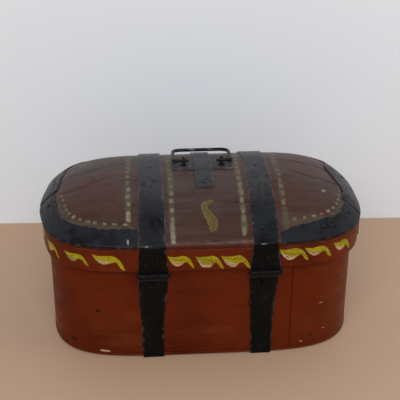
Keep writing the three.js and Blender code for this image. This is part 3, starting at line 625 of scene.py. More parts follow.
def forged_iron(name, dark, pale, roughness_low, roughness_high, dust_and_sheen):
    """Blackened iron, bright where worn on its edges and bends, with paler slate on its upper faces as
    painted sky sheen, and dust with a painted grey sheen on the crest.
    """
    finish = Finish(name)
    _, _, z = finish.axes()
    broad = finish.noise(0.045, 4)
    mottle = finish.noise(0.009, 5)
    pits = finish.noise(0.0022, 4)
    # Painted sheen: pale stands in for the sky's sheen on the upper faces, in mottled patches, in full above
    # the lid's edge and at 0.14 below it.
    lit_from_above = z.rise(edge_top - 3 * mm, edge_top + 4 * mm).between(0.14, 1.0)
    mottled_sheen = broad.rise(0.3, 0.6).most(mottle.rise(0.45, 0.75))
    # On the crest: dust, and a painted grey sheen where the crest catches the light.
    crest_dust_and_sheen = z.rise(232 * mm, 262 * mm) * mottle.rise(0.2, 0.6)
    rusty = finish.noise(0.014, 5).rise(0.6, 0.7)
    flakes = finish.noise(0.0032, 4, (1.5, 1, 1)).rise(0.7, 0.73)
    edge = finish.value("edge") * finish.noise(0.008, 4).rise(0.5, 0.64)
    bend = finish.value("bend") * finish.noise(0.006, 4, (2.5, 1, 1)).rise(0.52, 0.64)
    bright = (edge * 0.22).most(bend).most(flakes * 0.18)
    colour = finish.coats(
        dark, (mottled_sheen * lit_from_above, pale), (crest_dust_and_sheen * (6 * dust_and_sheen), dust_and_sheen_grey), (rusty * 0.5, rust),
        (bright, bright_iron))
    finish.bump((finish.noise(0.018, 2), 0.5 * mm), (mottle, 0.22 * mm), (pits.rise(0.35, 0.65), 0.08 * mm))
    roughness = mottle.rise(0.3, 0.7).between(roughness_low, roughness_high)
    return finish.close(colour, roughness, bright.between(0.02, 0.6), specular=0.11, dust_and_sheen=dust_and_sheen)


def brush_paint(name, main, second, relief):
    """Thick paint from a loaded brush: second shows along the lower side of the belly."""
    finish = Finish(name)
    along = finish.value("along")
    bristles = finish.value("bristle")
    worn = finish.noise(0.0035, 4)
    edge = finish.value("across") + (finish.noise(0.006, 3) - 0.5) * 0.4
    belly = along.rise(0.1, 0.24) * along.rise(0.62, 0.46)
    specks = finish.noise(0.0018, 3).rise(0.31, 0.28)
    darker = tuple(share * 0.40 for share in main)
    colour = finish.coats(
        main, (edge.rise(0.42, 0.22) * belly, second), (worn.rise(0.48, 0.68) * 0.8, darker),
        (bristles.rise(0.5, 0.9) * 0.6, darker), (specks * 0.8, soot))
    finish.bump((bristles, relief), (finish.noise(0.001, 3), 0.05 * mm))
    return finish.close(colour, worn.between(0.34, 0.5), specular=0.2)


def dab_paint():
    """Dabs from olive to dirty white: each dab's tint says which."""
    finish = Finish("dab_paint")
    worn = finish.noise(0.003, 4)
    tint = finish.value("tint") + (worn - 0.5) * 0.8
    gone = finish.noise(0.0045, 5).rise(0.5, 0.66)
    colour = finish.coats(dab_olive, (tint.rise(0.0, 1.1), dab_white), (gone * 0.5, purple_brown))
    finish.bump((worn, 0.12 * mm), (finish.noise(0.0008, 2), 0.05 * mm))
    return finish.close(colour, worn.between(0.4, 0.6), specular=0.25)


planks_finish = painted_planks()
hoop_finish = painted_hoop()
inside_planks = raw_wood("raw_planks", (24, 1, 1))
inside_hoops = raw_wood("raw_splint", (20, 20, 1))
strap_iron = forged_iron("strap_iron", black_iron, slate_iron, 0.36, 0.56, 0.07)
bail_iron = forged_iron("bail_iron", black_iron, (0.0055, 0.0055, 0.0060), 0.26, 0.44, 0.01)
leaf_paint = brush_paint("leaf_paint", (0.36, 0.28, 0.006), (0.50, 0.32, 0.19), 0.18 * mm)
scroll_paint = brush_paint("scroll_paint", (0.125, 0.086, 0.024), (0.13, 0.09, 0.03), 0.12 * mm)
dab_finish = dab_paint()

# ---- Lid planks --------------------------------------------------------------------------------


def joint_line(points, x):
    """Where a joint between two planks runs, at these places x."""
    places, levels = np.array(points).T * mm
    jagged = 0.5 * mm * along_lumps(x, 5 * mm, 5)
    return np.interp(x, places, levels) + jagged


joint_play = 0.03 * mm
# The panels outside the lid straps begin here
end_panels = (-104 * mm, 111 * mm)


def joint_half_gap(x):
    """Painted shut in the middle of the lid, and open towards both ends."""
    opened = clamp((np.abs(x) - 118 * mm) / (40 * mm))
    ragged = 1 + 0.5 * along_lumps(x, 11 * mm, 8)
    return 0.04 * mm + mix(0.6 * mm, 0.9 * mm, x > 0) * opened * ragged


def inset_at(x, y):
    """Distance in from the planks' edge, near enough, on the scaled outline through the point."""
    along, across = outline_shares(x, y)
    level = np.maximum(along + across, 1e-9)
    slope_x = length_power * along / np.maximum(np.abs(x), 1e-6)
    slope_y = depth_power * across / np.maximum(np.abs(y), 1e-6)
    return (1 - level) / np.maximum(np.hypot(slope_x, slope_y), 1e-3)


def plank_values(x, y):
    """What painted_planks needs to know at each point of the planks."""
    left, right = end_panels
    end_panel = clamp(np.maximum(left - x, x - right) / (4 * mm))
    level = dome_height(x, y)
    crown = clamp((level - edge_top) / (crest - edge_top)) ** 1.5
    return {"inset": inset_at(x, y), "end_panel": end_panel, "crown": crown}


def plank_shape(x, y, drop, lap):
    """x, y are grids over the plank; drop lowers the upper face along its edges, 0 elsewhere.

    lap carries the lower face towards a joint, so that the joint is closed at its bottom.
    """
    top = plank_point(x, y)
    below = on_dome(x, y, -plank_thickness)
    below[..., 2] = np.maximum(below[..., 2], edge_bottom)
    below[..., :2] = np.stack([x, y + lap], -1)
    top[..., 2] = np.maximum(top[..., 2] - drop, edge_bottom + 1 * mm)
    way_up = top - below
    height = np.linalg.norm(way_up, axis=-1)
    # A band about 3.4 mm in from the edge, for edge wear and a painted highlight.
    rim = clamp(1 - np.abs(inset_at(x, y) - 3.4 * mm) / (2.4 * mm))
    values = plank_values(x, y)
    return plate(below, way_up / height[..., None], height, rim=rim, **values)


edge_insets = np.array([0, 0.25, 0.8, 1.7, 3.0, 5.0]) * mm
edge_drops = np.array([2.6, 1.5, 0.75, 0.25, 0.06, 0]) * mm


def joint_drop(away):
    """How far a plank's upper face is worn down at this distance from its joint."""
    return 0.35 * mm * mound(away, 1.5 * mm)


def joint_lap(away, half_gap):
    """How far a plank's lower face reaches into its joint."""
    return (half_gap - joint_play) * mound(away, 4 * mm)


def side_plank(side, joint):
    """The front or rear plank: columns run in from the planks' edge to the joint."""
    corner = abs(joint_line(joint, np.array([half_length]))[0])
    reach = np.interp(corner, table_y[:quarter], table_way[:quarter])
    ways = np.linspace(0.5 + reach + 0.002, 1 - reach - 0.002, 230)
    if side > 0:
        ways = 1 - ways
    edge_x, edge_y, _, _ = outline(ways, overhang)
    half_gap = joint_half_gap(edge_x)
    inner_y = joint_line(joint, edge_x) + side * half_gap
    run = np.abs(edge_y - inner_y)
    shares = np.linspace(0, 1, 44)[1:]
    rows_x, rows_y, drops, laps = [], [], [], []
    for x, y, length, opened in zip(edge_x, edge_y, run, half_gap):
        insets = edge_insets * min(1, length * 0.5 / edge_insets[-1])
        start = insets[-1]
        levels = np.concatenate([insets, start + (length - start) * shares])
        rows_x.append(np.full(len(levels), x))
        rows_y.append(y - side * levels)
        drops.append(np.concatenate([edge_drops, 0 * shares]) + joint_drop(length - levels))
        laps.append(-side * joint_lap(length - levels, opened))
    return plank_shape(*(np.array(rows) for rows in (rows_x, rows_y, drops, laps)))


def middle_plank():
    """The plank along the crest: columns run from its left end to its right end."""
    levels = np.linspace(0, 1, 22)
    inner = np.linspace(-1, 1, 200)[1:-1]
    rows_x, rows_y, drops, laps = [], [], [], []
    for level in levels:
        nominal = mix(-30 * mm, 14 * mm, level)
        share = (abs(nominal) / half_depth) ** depth_power
        reach = (half_length + overhang) * (1 - share) ** (1 / length_power)
        ends = reach - edge_insets[:-1]
        x = np.concatenate([-ends, inner * (reach - edge_insets[-1]), ends[::-1]])
        x = x * squeeze(x, nominal)
        low = joint_line(front_joint, x) + joint_half_gap(x)
        high = joint_line(rear_joint, x) - joint_half_gap(x)
        rows_x.append(x)
        rows_y.append(mix(low, high, level))
        end_drop = np.concatenate([edge_drops[:-1], 0 * inner, edge_drops[:-1][::-1]])
        away = np.minimum(level, 1 - level) * (high - low)
        drops.append(end_drop + joint_drop(away))
        laps.append(np.sign(level - 0.5) * joint_lap(away, joint_half_gap(x)))
    return plank_shape(*(np.array(rows) for rows in (rows_x, rows_y, drops, laps)))


def lid_planks():
    shapes = {
        "lid_plank_front": side_plank(-1, front_joint),
        "lid_plank_middle": middle_plank(),
        "lid_plank_rear": side_plank(1, rear_joint),
    }
    for node, shape in shapes.items():
        add_piece(f"{node}_wood", shape, "lid", [planks_finish, inside_planks], "painted_planks", node)


# ---- Bent hoops and bottom ---------------------------------------------------------------------


def hoop_face(way, z, offset, lap_way, lap_run, proud):
    """Offset of a hoop's outer face: gentle waves, and the lap's outer end standing proud."""
    x, y, _, _ = body_outline(way)
    waves = 0.45 * mm * (lumps(points_at(x, y, z * 0.4), 70 * mm, 2) - 1) / 2
    behind = np.mod(way - lap_way, 1)
    lap = np.where(behind < lap_run, proud * (1 - behind / lap_run), 0)
    ahead = np.mod(lap_way - way, 1) * perimeter
    groove = np.where(behind > lap_run, -0.5 * mm * mound(ahead, 1.6 * mm), 0)
    return offset + waves + lap + groove


def bent_hoop(around, offset, low, high, face, lap_way, round_edge):
    """A splint hoop from low to high on an outline: face gives its outer face, and its edges are rounded."""
    ways = np.linspace(0, 1, 460, endpoint=False)
    tight = lap_way + np.array([-2.4, -1.6, -0.9, -0.4, -0.1, 0.1, 0.6]) * mm / perimeter
    ways = np.sort(np.mod(np.concatenate([ways, tight]), 1))
    steps = np.linspace(low + 2.5 * mm, high - 2.5 * mm, max(8, int((high - low) / (3.5 * mm))))
    borders = np.array([0, 0.3, 0.8, 1.5]) * mm
    levels = np.concatenate([low + borders, steps, (high - borders)[::-1]])
    way, z = np.meshgrid(ways, levels, indexing="ij")
    outer_x, outer_y, _, _ = around(way, face(way, z))
    inner_x, inner_y, normal_x, normal_y = around(way, offset - splint)
    from_edge = np.minimum(z - low, high - z)
    shave = 0.7 * round_edge * (1 - np.sqrt(1 - (1 - clamp(from_edge / round_edge)) ** 2))
    outer_x, outer_y = outer_x - normal_x * shave, outer_y - normal_y * shave
    base = points_at(inner_x, inner_y, z)
    across = points_at(outer_x, outer_y, z) - base
    height = np.linalg.norm(across, axis=-1)
    foot = clamp(1 - (z - low) / (22 * mm))
    # The top edge, for edge wear and a painted highlight.
    rim = clamp(1 - (high - z) / (1.6 * mm))
    return plate(base, across / height[..., None], height, ring=True, foot=foot, rim=rim)


body_lap_way = way_at(134 * mm, -1)
lid_lap_way = way_at(247.5 * mm, -1)


def body_face(way, z):
    return hoop_face(way, z, -body_inset, body_lap_way, 0.08, lap_proud)


def lid_face(way, z):
    return hoop_face(way, z, 0, lid_lap_way, 0.06, 2 * mm)


def hoops():
    body = bent_hoop(body_outline, -body_inset, body_low.z, body_high.z, body_face, body_lap_way, 1.2 * mm)
    lid = bent_hoop(outline, 0, hoop_low.z, hoop_high.z, lid_face, lid_lap_way, 1.5 * mm)
    lid.values.pop("foot")
    finishes = [hoop_finish, inside_hoops]
    add_piece("body_hoop_splint", body, "box", finishes, "painted_hoops", "body_hoop")
    add_piece("lid_hoop_splint", lid, "lid", finishes, "painted_hoops", "lid_hoop")


board_steps = 300


def stacked(profile):
    """A solid of outline rings: (offset, z) pairs from the middle of one face round to the other."""
    ways = np.arange(board_steps) / board_steps
    rings = []
    for offset, z in profile:
        x, y, _, _ = body_outline(ways, offset)
        rings.append(points_at(x, y, z))
    return tube(np.array(rings))


def bottom_board():
    """A board inside the body hoop, with a flange under the hoop whose edge is painted."""
    flange = board_high.x - half_length
    flange_top = body_low.z - gap
    low, high = board_low.z, board_high.z
    inner = -body_inset - splint - gap
    profile = [
        (flange - 30 * mm, low), (flange - 1.2 * mm, low), (flange - 0.4 * mm, low + 0.4 * mm),
        (flange, low + 1.2 * mm), (flange, flange_top - 1 * mm), (flange - 0.4 * mm, flange_top - 0.2 * mm),
        (flange - 1 * mm, flange_top), (inner, flange_top), (inner, high - 0.6 * mm),
        (inner - 0.6 * mm, high), (inner - 30 * mm, high),
    ]
    shape = stacked(profile)
    painted = range(1, 7)  # the rows of faces on the flange's edge
    for row in range(len(profile) - 1):
        shape.marks[row * board_steps:(row + 1) * board_steps] = [int(row not in painted)] * board_steps
    shape.marks[-2:] = [1, 1]
    add_piece("bottom_board_wood", shape, "box", [hoop_finish, inside_planks], "bottom_wood", "bottom_board")


# ---- Straps and plates -------------------------------------------------------------------------

edge_shares = np.array([1, 0.985, 0.955, 0.91, 0.74, 0.5, 0.25])
strap_shares = np.concatenate([-edge_shares, [0], edge_shares[::-1]])


# A row gives, at places x across a strap, the points of its lower face and the way out from them.


def wall_row(side, offset, z):
    """Across a long side at height z; side is -1 for the hinge side."""
    def row(x):
        return points_at(x, side * depth_at(x, offset + gap), z), points_at(0 * x, side, 0)
    return row


def dome_row(y, lift=gap):
    """Across the planks at y."""
    def row(x):
        level = np.full_like(x, y)
        return on_dome(x, level, lift), dome_normal(x, level)
    return row


def corner_row(side):
    """Across the planks' edge, where a strap turns from the rim to the dome."""
    def row(x):
        level = side * depth_at(x, overhang + gap)
        return points_at(x, level, edge_top + gap), points_at(0 * x, side * 0.94, 0.34)
    return row


def floor_row(y, out):
    """Across the underside of the box at y; out is the way out's y and z."""
    def row(x):
        return points_at(x, y, iron), points_at(0 * x, *out)
    return row


def flowing(grid, spans, counts):
    """Rows of a grid joined by smooth curves: counts rows are made in each span."""
    inner = np.diff(grid, axis=0) / spans[:, None, None]
    weights = spans[1:, None, None] / (spans[:-1] + spans[1:])[:, None, None]
    middle = inner[:-1] * weights + inner[1:] * (1 - weights)
    slopes = np.concatenate([inner[:1], middle, inner[-1:]])
    rows = []
    for index, (span, count) in enumerate(zip(spans, counts)):
        start, end = slice(index, index + 1), slice(index + 1, index + 2)
        for t in np.arange(count) / count:
            places = grid[start] * (2 * t ** 3 - 3 * t ** 2 + 1) + grid[end] * (3 * t ** 2 - 2 * t ** 3)
            bulges = slopes[start] * (t ** 3 - 2 * t ** 2 + t) + slopes[end] * (t ** 3 - t ** 2)
            rows.append((places + span * bulges)[0])
    return np.array(rows + [grid[-1]])


def strap(centre_x, stations, seed, bends, step=2.6 * mm):
    """A forged strap through its stations, each (row, width) with an optional sideways shift.

    bends are the numbers of the stations where the iron is rubbed bright.
    """
    grid, outs, halves = [], [], []
    for row, width, *shift in stations:
        point, out = row(centre_x + sum(shift) + strap_shares * width / 2)
        grid.append(point)
        outs.append(out)
        halves.append(np.full((len(strap_shares), 1), width / 2))
    grid, outs, halves = np.array(grid), np.array(outs, float), np.array(halves)
    middle = len(strap_shares) // 2
    spans = np.linalg.norm(np.diff(grid[:, middle], axis=0), axis=-1)
    counts = np.maximum(1, np.round(spans / step)).astype(int)
    for station in bends:
        counts[max(station - 1, 0):station + 1] *= 3
    base = flowing(grid, spans, counts)
    out = unit(flowing(outs, spans, counts))
    half = flowing(halves, spans, counts)[..., 0]
    run = run_along(base[:, middle])
    places = np.concatenate([[0], np.cumsum(counts)])[list(bends)]
    bend = sum((mound(run - run[place], 1.1 * mm) for place in places), 0 * run)
    across = half * (1 - np.abs(strap_shares))
    ends = np.minimum(run, run[-1] - run)[:, None]
    wobble, other = (0.6 * mm * along_lumps(run, 22 * mm, seed + part) for part in (0, 5))
    sideways = np.where(strap_shares < 0, wobble[:, None], other[:, None]) * np.abs(strap_shares) ** 6
    base[..., 0] += sideways
    hammered = 1 + 0.10 * lumps(base, 13 * mm, seed) + 0.05 * lumps(base, 5 * mm, seed)
    height = np.minimum(iron * 0.92 * hammered * rounded(across, 1.3 * mm) * rounded(ends, 1.2 * mm), iron)
    edge = clamp(1 - across / (2.2 * mm))
    shape = plate(base, out, height, edge=edge, bend=bend[:, None])
    shape.points[:, 2] = np.maximum(shape.points[:, 2], 0.05 * mm)
    return shape


def barrel(from_x, to_x):
    """A rolled hinge knuckle with rounded lips, pierced for its pin."""
    length = to_x - from_x
    lip = 0.7 * mm
    wall = barrel_radius * 0.99
    near_end = [(0, pin_bore), (0, wall - lip), (lip * 0.3, wall - lip * 0.3), (lip, wall)]
    belly = [(length * 0.3, wall * 0.985), (length * 0.5, wall), (length * 0.75, wall * 0.98)]
    far_end = [(length - x, radius) for x, radius in near_end[::-1]]
    shape = along_x(near_end + belly + far_end, from_x)
    outward = shape.points * (0, 1, 1)
    shape.points += (0, -hinge_y, hinge_z)
    lumpy = lumps(shape.points, 6 * mm, 4)[:, None]
    shape.points -= outward * 0.02 * (1 + lumpy)
    shape.values["bend"] = np.clip(lumps(shape.points, 9 * mm, 9) * 2.2 - 1.0, 0, 0.5)
    return shape


def outer_barrels(centre_x, width):
    inner = middle_knuckle / 2 + knuckle_gap
    return barrel(centre_x - width / 2, centre_x - inner) + barrel(centre_x + inner, centre_x + width / 2)


dome_reach = half_depth + overhang - 4 * mm


def rim_rows(side, end_z, end_width, edge_width):
    """Stations from a lid strap's lower end up one rim and over the planks' edge."""
    top = hoop_high.z
    rows = []
    for z in (end_z, mix(end_z, top, 0.5), top - 5 * mm):
        share = (z - end_z) / (edge_top - end_z)
        rows.append((wall_row(side, 0, z), mix(end_width, edge_width, share)))
    rows.append((wall_row(side, overhang, top + 0.5 * mm), edge_width + 0.5 * mm))
    rows.append((corner_row(side), edge_width))
    return rows


def dome_rows(from_y, to_y, count, width, lift=lambda y: gap):
    return [(dome_row(y, lift(y)), width(y)) for y in np.linspace(from_y, to_y, count)]


def lid_strap(side):
    """From its hinge knuckles up the near rim, over the dome and down the far rim."""
    centre = strap_x[side]
    edge, crest_width = strap_widths["edge"], strap_widths["crest"]
    lower_end = hinge_z + barrel_radius * 0.2
    front = rim_rows(-1, lower_end, strap_widths["hinge"], edge)
    over = dome_rows(-dome_reach, dome_reach, 40, lambda y: mix(crest_width, edge, abs(y) / dome_reach))
    rear = rim_rows(1, hoop_low.z + 1 * mm, strap_widths["rear"], edge)[::-1]
    stations = front + over + rear
    bends = (len(front) - 1, len(front) + len(over))
    shape = strap(centre, stations, 21 if side == "left" else 34, bends=bends)
    slit = middle_knuckle / 2 + knuckle_gap
    low = (shape.points[:, 2] < hinge_z + barrel_radius + knuckle_gap) & (shape.points[:, 1] < 0)
    inside = low & (np.abs(shape.points[:, 0] - centre) < slit)
    shape.points[inside, 2] = hinge_z + barrel_radius + knuckle_gap
    barrels = outer_barrels(centre, strap_widths["hinge"])
    node = f"lid_strap_{side}"
    add_piece(f"{node}_iron", shape + barrels, "lid", [strap_iron], "strap_iron", node)


def body_strap(side):
    """From its hinge knuckle down the near wall, under the box and a little way up the far wall."""
    centre = strap_x[side]
    wall = board_high.x - half_length
    top = hinge_z - barrel_radius * 0.2
    depth = depth_at(np.array(centre), wall + gap)
    hinge, foot = strap_widths["hinge"], strap_widths["foot"]
    lean = -2 * mm
    at_hinge = [(wall_row(-1, 0, z), hinge) for z in (top, top - 5 * mm)]
    tapering = [(top - 15 * mm, 45 * mm, lean / 4), (120 * mm, 42 * mm, lean / 2), (100 * mm, 39 * mm, lean),
                (55 * mm, 34 * mm, lean)]
    near = [(wall_row(-1, wall, z), width, shift) for z, width, shift in tapering]
    turns = (iron + 6 * mm, iron + 2.5 * mm)
    under = [wall_row(-1, wall, z) for z in turns] + [floor_row(-depth, (-0.8, -0.8))]
    flat = (-depth + 4 * mm, -depth + 30 * mm, depth - 30 * mm, depth - 4 * mm)
    under += [floor_row(y, (0, -1)) for y in flat]
    under += [floor_row(depth, (0.8, -0.8))] + [wall_row(1, wall, z) for z in turns[::-1]]
    far_end = [(wall_row(1, wall, z * mm), width * mm, lean) for z, width in ((52, 28), (57, 25), (60, 17))]
    stations = at_hinge + near + [(row, foot, lean) for row in under] + far_end
    shape = strap(centre, stations, 47 if side == "left" else 58, bends=(0,))
    slit = middle_knuckle / 2
    high = (shape.points[:, 2] > hinge_z - barrel_radius - knuckle_gap) & (shape.points[:, 1] < 0)
    outside = high & (np.abs(shape.points[:, 0] - centre) > slit)
    shape.points[outside, 2] = hinge_z - barrel_radius - knuckle_gap
    middle = barrel(centre - middle_knuckle / 2, centre + middle_knuckle / 2)
    node = f"body_strap_{side}"
    add_piece(f"{node}_iron", shape + middle, "box", [strap_iron], "strap_iron", node)


def edge_iron(node, from_way, to_way, width_at, seed):
    """A band nailed round the planks' edge: it turns down over the edge and lies on the dome."""
    steps = int(abs(to_way - from_way) * perimeter / (3.2 * mm))
    ways = np.linspace(from_way, to_way, steps + 1)
    run = (ways - from_way) * perimeter
    width = width_at(run) - 0.8 * mm + 0.8 * mm * along_lumps(run, 26 * mm, seed)
    turned_down = [(2 * mm, 0), (1.6 * mm, 0), (0.8 * mm, 0.1), (0, 0.45)]
    across = [0.01, 0.03, 0.07, 0.14, 0.24, 0.36, 0.5, 0.64, 0.78, 0.88, 0.94, 0.97, 0.99, 1]
    base, out = [], []
    x, y, normal_x, normal_y = outline(ways, overhang + gap)
    for drop, tilt in turned_down:
        base.append(points_at(x, y, edge_top - drop))
        out.append(points_at(normal_x, normal_y, tilt))
    for share in across:
        x, y, _, _ = outline(ways, overhang - mix(1.5 * mm, width, share))
        base.append(on_dome(x, y, gap))
        out.append(dome_normal(x, y))
    base = np.array(base).transpose(1, 0, 2)
    out = unit(np.array(out).transpose(1, 0, 2))
    columns = run_along(base[steps // 2])
    inward = np.minimum(columns, columns[-1] - columns)[None, :]
    ends = np.minimum(np.abs(run), np.abs(run[-1] - run))[:, None]
    hammered = 1 + 0.14 * lumps(base, 15 * mm, seed) + 0.06 * lumps(base, 5 * mm, seed)
    height = iron * 0.86 * hammered * rounded(inward, 1.2 * mm) * rounded(ends, 1.0 * mm)
    edge = clamp(1 - inward / (2.5 * mm))
    shape = plate(base, out, np.minimum(height, iron), edge=edge)
    add_piece(f"{node}_band", shape, "lid", [strap_iron], "strap_iron", node)


def edge_irons():
    """Four irons: they meet in a cut on each end, and stop at the lid straps."""
    left_cut = 0.5 + 14 * mm / perimeter
    right_cut = 1 - 75 * mm / perimeter
    slit = 0.5 * mm / perimeter
    left_start, right_start = -101 * mm, 112 * mm

    def front(run):
        return iron_widths["front"]

    def rear(run):
        return iron_widths["rear"]

    def growing(run):
        return mix(iron_widths["narrow"], iron_widths["front"], clamp(run / (45 * mm)))

    def bellied(run):
        share = clamp(1 - np.abs(run - 98 * mm) / (75 * mm))
        return mix(iron_widths["rear"], iron_widths["belly"], share * share * (3 - 2 * share))

    edge_iron("edge_iron_front_left", left_cut + slit, way_at(left_start, -1), front, 3)
    edge_iron("edge_iron_rear_left", way_at(left_start, 1), left_cut - slit, rear, 7)
    edge_iron("edge_iron_front_right", way_at(right_start, -1), right_cut - slit, growing, 12)
    edge_iron("edge_iron_rear_right", right_cut + slit - 1, way_at(right_start, 1), bellied, 18)


def centre_strap():
    """Runs from a rounded tail up over the handle plate and down the far rim."""
    width = 28 * mm
    tail = -63 * mm
    corner = 6 * mm
    plate_half = 15 * mm

    def lift(y):
        beyond = (abs(y) - plate_half - 1 * mm) / (7 * mm)
        return gap + (iron + gap) * min(max(1 - beyond, 0), 1)

    rows = []
    for inset in np.array([0, 0.3, 0.9, 1.8, 3, 4.4, 6]) * mm:
        narrowing = corner - math.sqrt(corner ** 2 - (corner - inset) ** 2)
        rows.append((dome_row(tail + inset), width - 2 * narrowing))
    rows += dome_rows(-50 * mm, 50 * mm, 34, lambda y: width, lift)
    rows += dome_rows(60 * mm, dome_reach, 12, lambda y: width)
    rear = rim_rows(1, 162 * mm, width, width)[::-1]
    shape = strap(iron_centre, rows + rear, 71, step=2.2 * mm, bends=(len(rows),))
    add_piece("centre_strap_iron", shape, "lid", [strap_iron], "strap_iron", "centre_strap")


def closer_to_edges(half, count):
    """count even places across a plate, and four more towards each of its edges at -half and half."""
    borders = half - np.array([0, 0.3, 0.9, 1.8]) * mm
    return np.concatenate([-borders, np.linspace(-half + 3 * mm, half - 3 * mm, count), borders[::-1]])


def handle_plate():
    """A plate across the crest, its corners drawn in a little."""
    low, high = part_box("handle_plate")
    half_x, half_y = (high.x - low.x) / 2, 15 * mm
    x, y = np.meshgrid(closer_to_edges(half_x, 44), closer_to_edges(half_y, 12), indexing="ij")
    corner = 3 * mm
    pull = clamp((np.abs(x) - half_x + corner) / corner)
    y = y * (1 - pull ** 3 * corner * 0.6 / half_y)
    shifted = x + iron_centre
    base = on_dome(shifted, y, gap)
    inward = np.minimum(half_x - np.abs(x), half_y - np.abs(y))
    hammered = 1 + 0.08 * lumps(base, 14 * mm, 6)
    height = iron * 0.92 * hammered * rounded(inward, 1.2 * mm)
    shape = plate(base, dome_normal(shifted, y), np.minimum(height, iron), edge=clamp(1 - inward / (2 * mm)))
    add_piece("handle_plate_iron", shape, "lid", [strap_iron], "strap_iron", "handle_plate")


# ---- Bail, eyes and closure --------------------------------------------------------------------


def rod(points, radius, count, width=1.0):
    """A bar along points; radius may change along it. Its section is a circle stretched by width."""
    way = unit(np.gradient(points, axis=0))
    cos, sin = circle(count)
    rings = []
    first = np.cross(way[0], (0, 0, 1) if abs(way[0][2]) < 0.9 else (1, 0, 0))
    for point, direction, size in zip(points, way, np.broadcast_to(radius, len(points))):
        first = unit(first - direction * np.dot(first, direction))
        ring = cos[:, None] * first + sin[:, None] * np.cross(direction, first) * width
        rings.append(point + ring * size)
    return tube(np.array(rings))


def rounded_corner(before, corner, after, steps=10):
    """Points along a curve from before to after, drawn towards the corner."""
    t = np.linspace(0, 1, steps)[:, None]
    before, corner, after = (np.asarray(point, float) for point in (before, corner, after))
    return (1 - t) ** 2 * before + 2 * t * (1 - t) * corner + t ** 2 * after


def straight(start, end, steps):
    return mix(np.asarray(start, float), np.asarray(end, float), np.linspace(0, 1, steps)[1:-1, None])


bail_axis = joints["bail_hinge"]
bail_sides = 18


def bail_handle():
    """Its left half, from the foot in the eye to the corner of the grip, then the grip and the right half."""
    low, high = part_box("bail_handle")
    radius = 3 * mm
    half = (high.x - low.x) / 2 - radius
    reach = high.y - radius - bail_axis.y
    fall = bail_axis.z - low.z - radius
    arm = math.hypot(reach, fall)
    corner, foot, foot_corner = 15 * mm, 21.5 * mm, 7 * mm

    def at(across, along):
        return (iron_centre + across, along * reach / arm, bail_axis.z - along * fall / arm)

    side = [
        [at(-foot, 0)], straight(at(-foot, 0), at(-half + foot_corner, 0), 5),
        rounded_corner(at(-half + foot_corner, 0), at(-half, 0), at(-half, foot_corner)),
        straight(at(-half, foot_corner), at(-half, arm - corner), 14),
        rounded_corner(at(-half, arm - corner), at(-half, arm), at(-half + corner, arm), 14),
    ]
    left = np.concatenate([np.atleast_2d(part) for part in side])
    right = left[::-1] * (-1, 1, 1) + (2 * iron_centre, 0, 0)
    points = np.concatenate([left, straight(left[-1], right[0], 18), right])
    run = run_along(points)
    from_end = np.minimum(run, run[-1] - run)
    forged = 1 - 0.06 * (1 + lumps(points, 16 * mm, 4))
    tips = 0.62 + 0.38 * clamp(from_end / (2 * mm)) ** 0.5
    grip = 1 - 0.10 * clamp(1 - from_end / (30 * mm))
    shape = rod(points, radius * forged * tips * grip, bail_sides)
    share = run / run[-1]
    polished = 0.35 * clamp((share - 0.28) * 6) * clamp((0.72 - share) * 6)
    shape.values["bend"] = np.repeat(polished, bail_sides)
    add_piece("bail_handle_rod", shape, "bail", [bail_iron], "bail_iron", "bail_handle", sharp=60)


def bail_eye(side):
    """A bent-rod eye standing on the handle plate."""
    low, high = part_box(f"bail_eye_{side}")
    centre = (low.x + high.x) / 2
    outer = (high.y - low.y) / 2
    thick = 1.5 * mm
    radius = outer - thick
    foot_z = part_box("handle_plate")[1].z - 0.5 * mm
    angles = np.linspace(0, np.pi, 22)
    arch = points_at(centre, radius * np.cos(angles), bail_axis.z + radius * np.sin(angles))
    leg = points_at(centre, radius * 0.9, np.linspace(foot_z, bail_axis.z, 6)[:-1])
    points = np.concatenate([leg, arch, (leg * (1, -1, 1))[::-1]])
    shape = rod(points, thick, 14, 1.55)
    shape.points[:, 2] = np.minimum(shape.points[:, 2], high.z)
    profile = np.array([(0, 0), (5.4, 0), (6.2, 0.5), (5.6, 1.2), (3, 1.5), (0, 1.6)]) * mm
    collar = lathe(profile, (centre, 0, foot_z + 0.4 * mm), (0, 0, 1))
    collar.points += lumps(collar.points, 4 * mm, 2)[:, None] * 0.15 * mm
    node = f"bail_eye_{side}"
    add_piece(f"{node}_rod", shape + collar, "lid", [bail_iron], "bail_iron", node, sharp=60)


def paint_cad_node(node, material):
    """A CAD node keeps its shape and gets this material."""
    piece = frame["nodes"][node]
    piece.data.materials.clear()
    piece.data.materials.append(material)
    return piece


def closure():
    """The hasp, its plate and the staple keep their CAD shapes, with their edges eased."""
    for node, finish in (("hasp", strap_iron), ("hasp_plate", strap_iron), ("lock_staple", bail_iron)):
        piece = paint_cad_node(node, finish)
        ease = piece.modifiers.new("eased edges", "BEVEL")
        ease.width = 0.45 * mm
        ease.segments = 2
        ease.limit_method = "ANGLE"
        ease.angle_limit = math.radians(40)


def hinge_pins():
    """Pins with a low round head at each end."""
    for node, side in (("hinge_pin_left", -1), ("hinge_pin_right", -1), ("hasp_pin", 1)):
        low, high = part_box(node)
        length = high.x - low.x
        head, shank, dome = 2.45 * mm, 1.55 * mm, 1.3 * mm
        near_end = [(0.02 * mm, 0), (head * 0.45, 0.1 * mm), (head * 0.8, 0.4 * mm), (head, 0.9 * mm),
                    (head * 0.96, dome), (shank, dome)]
        far_end = [(radius, length - height) for radius, height in near_end[::-1]]
        shape = lathe(near_end + far_end, (low.x, side * hinge_y, hinge_z), (1, 0, 0), 20)
        add_piece(f"{node}_rod", shape, "box", [bail_iron], "nail_iron", node)


# ---- Nails and pegs ----------------------------------------------------------------------------


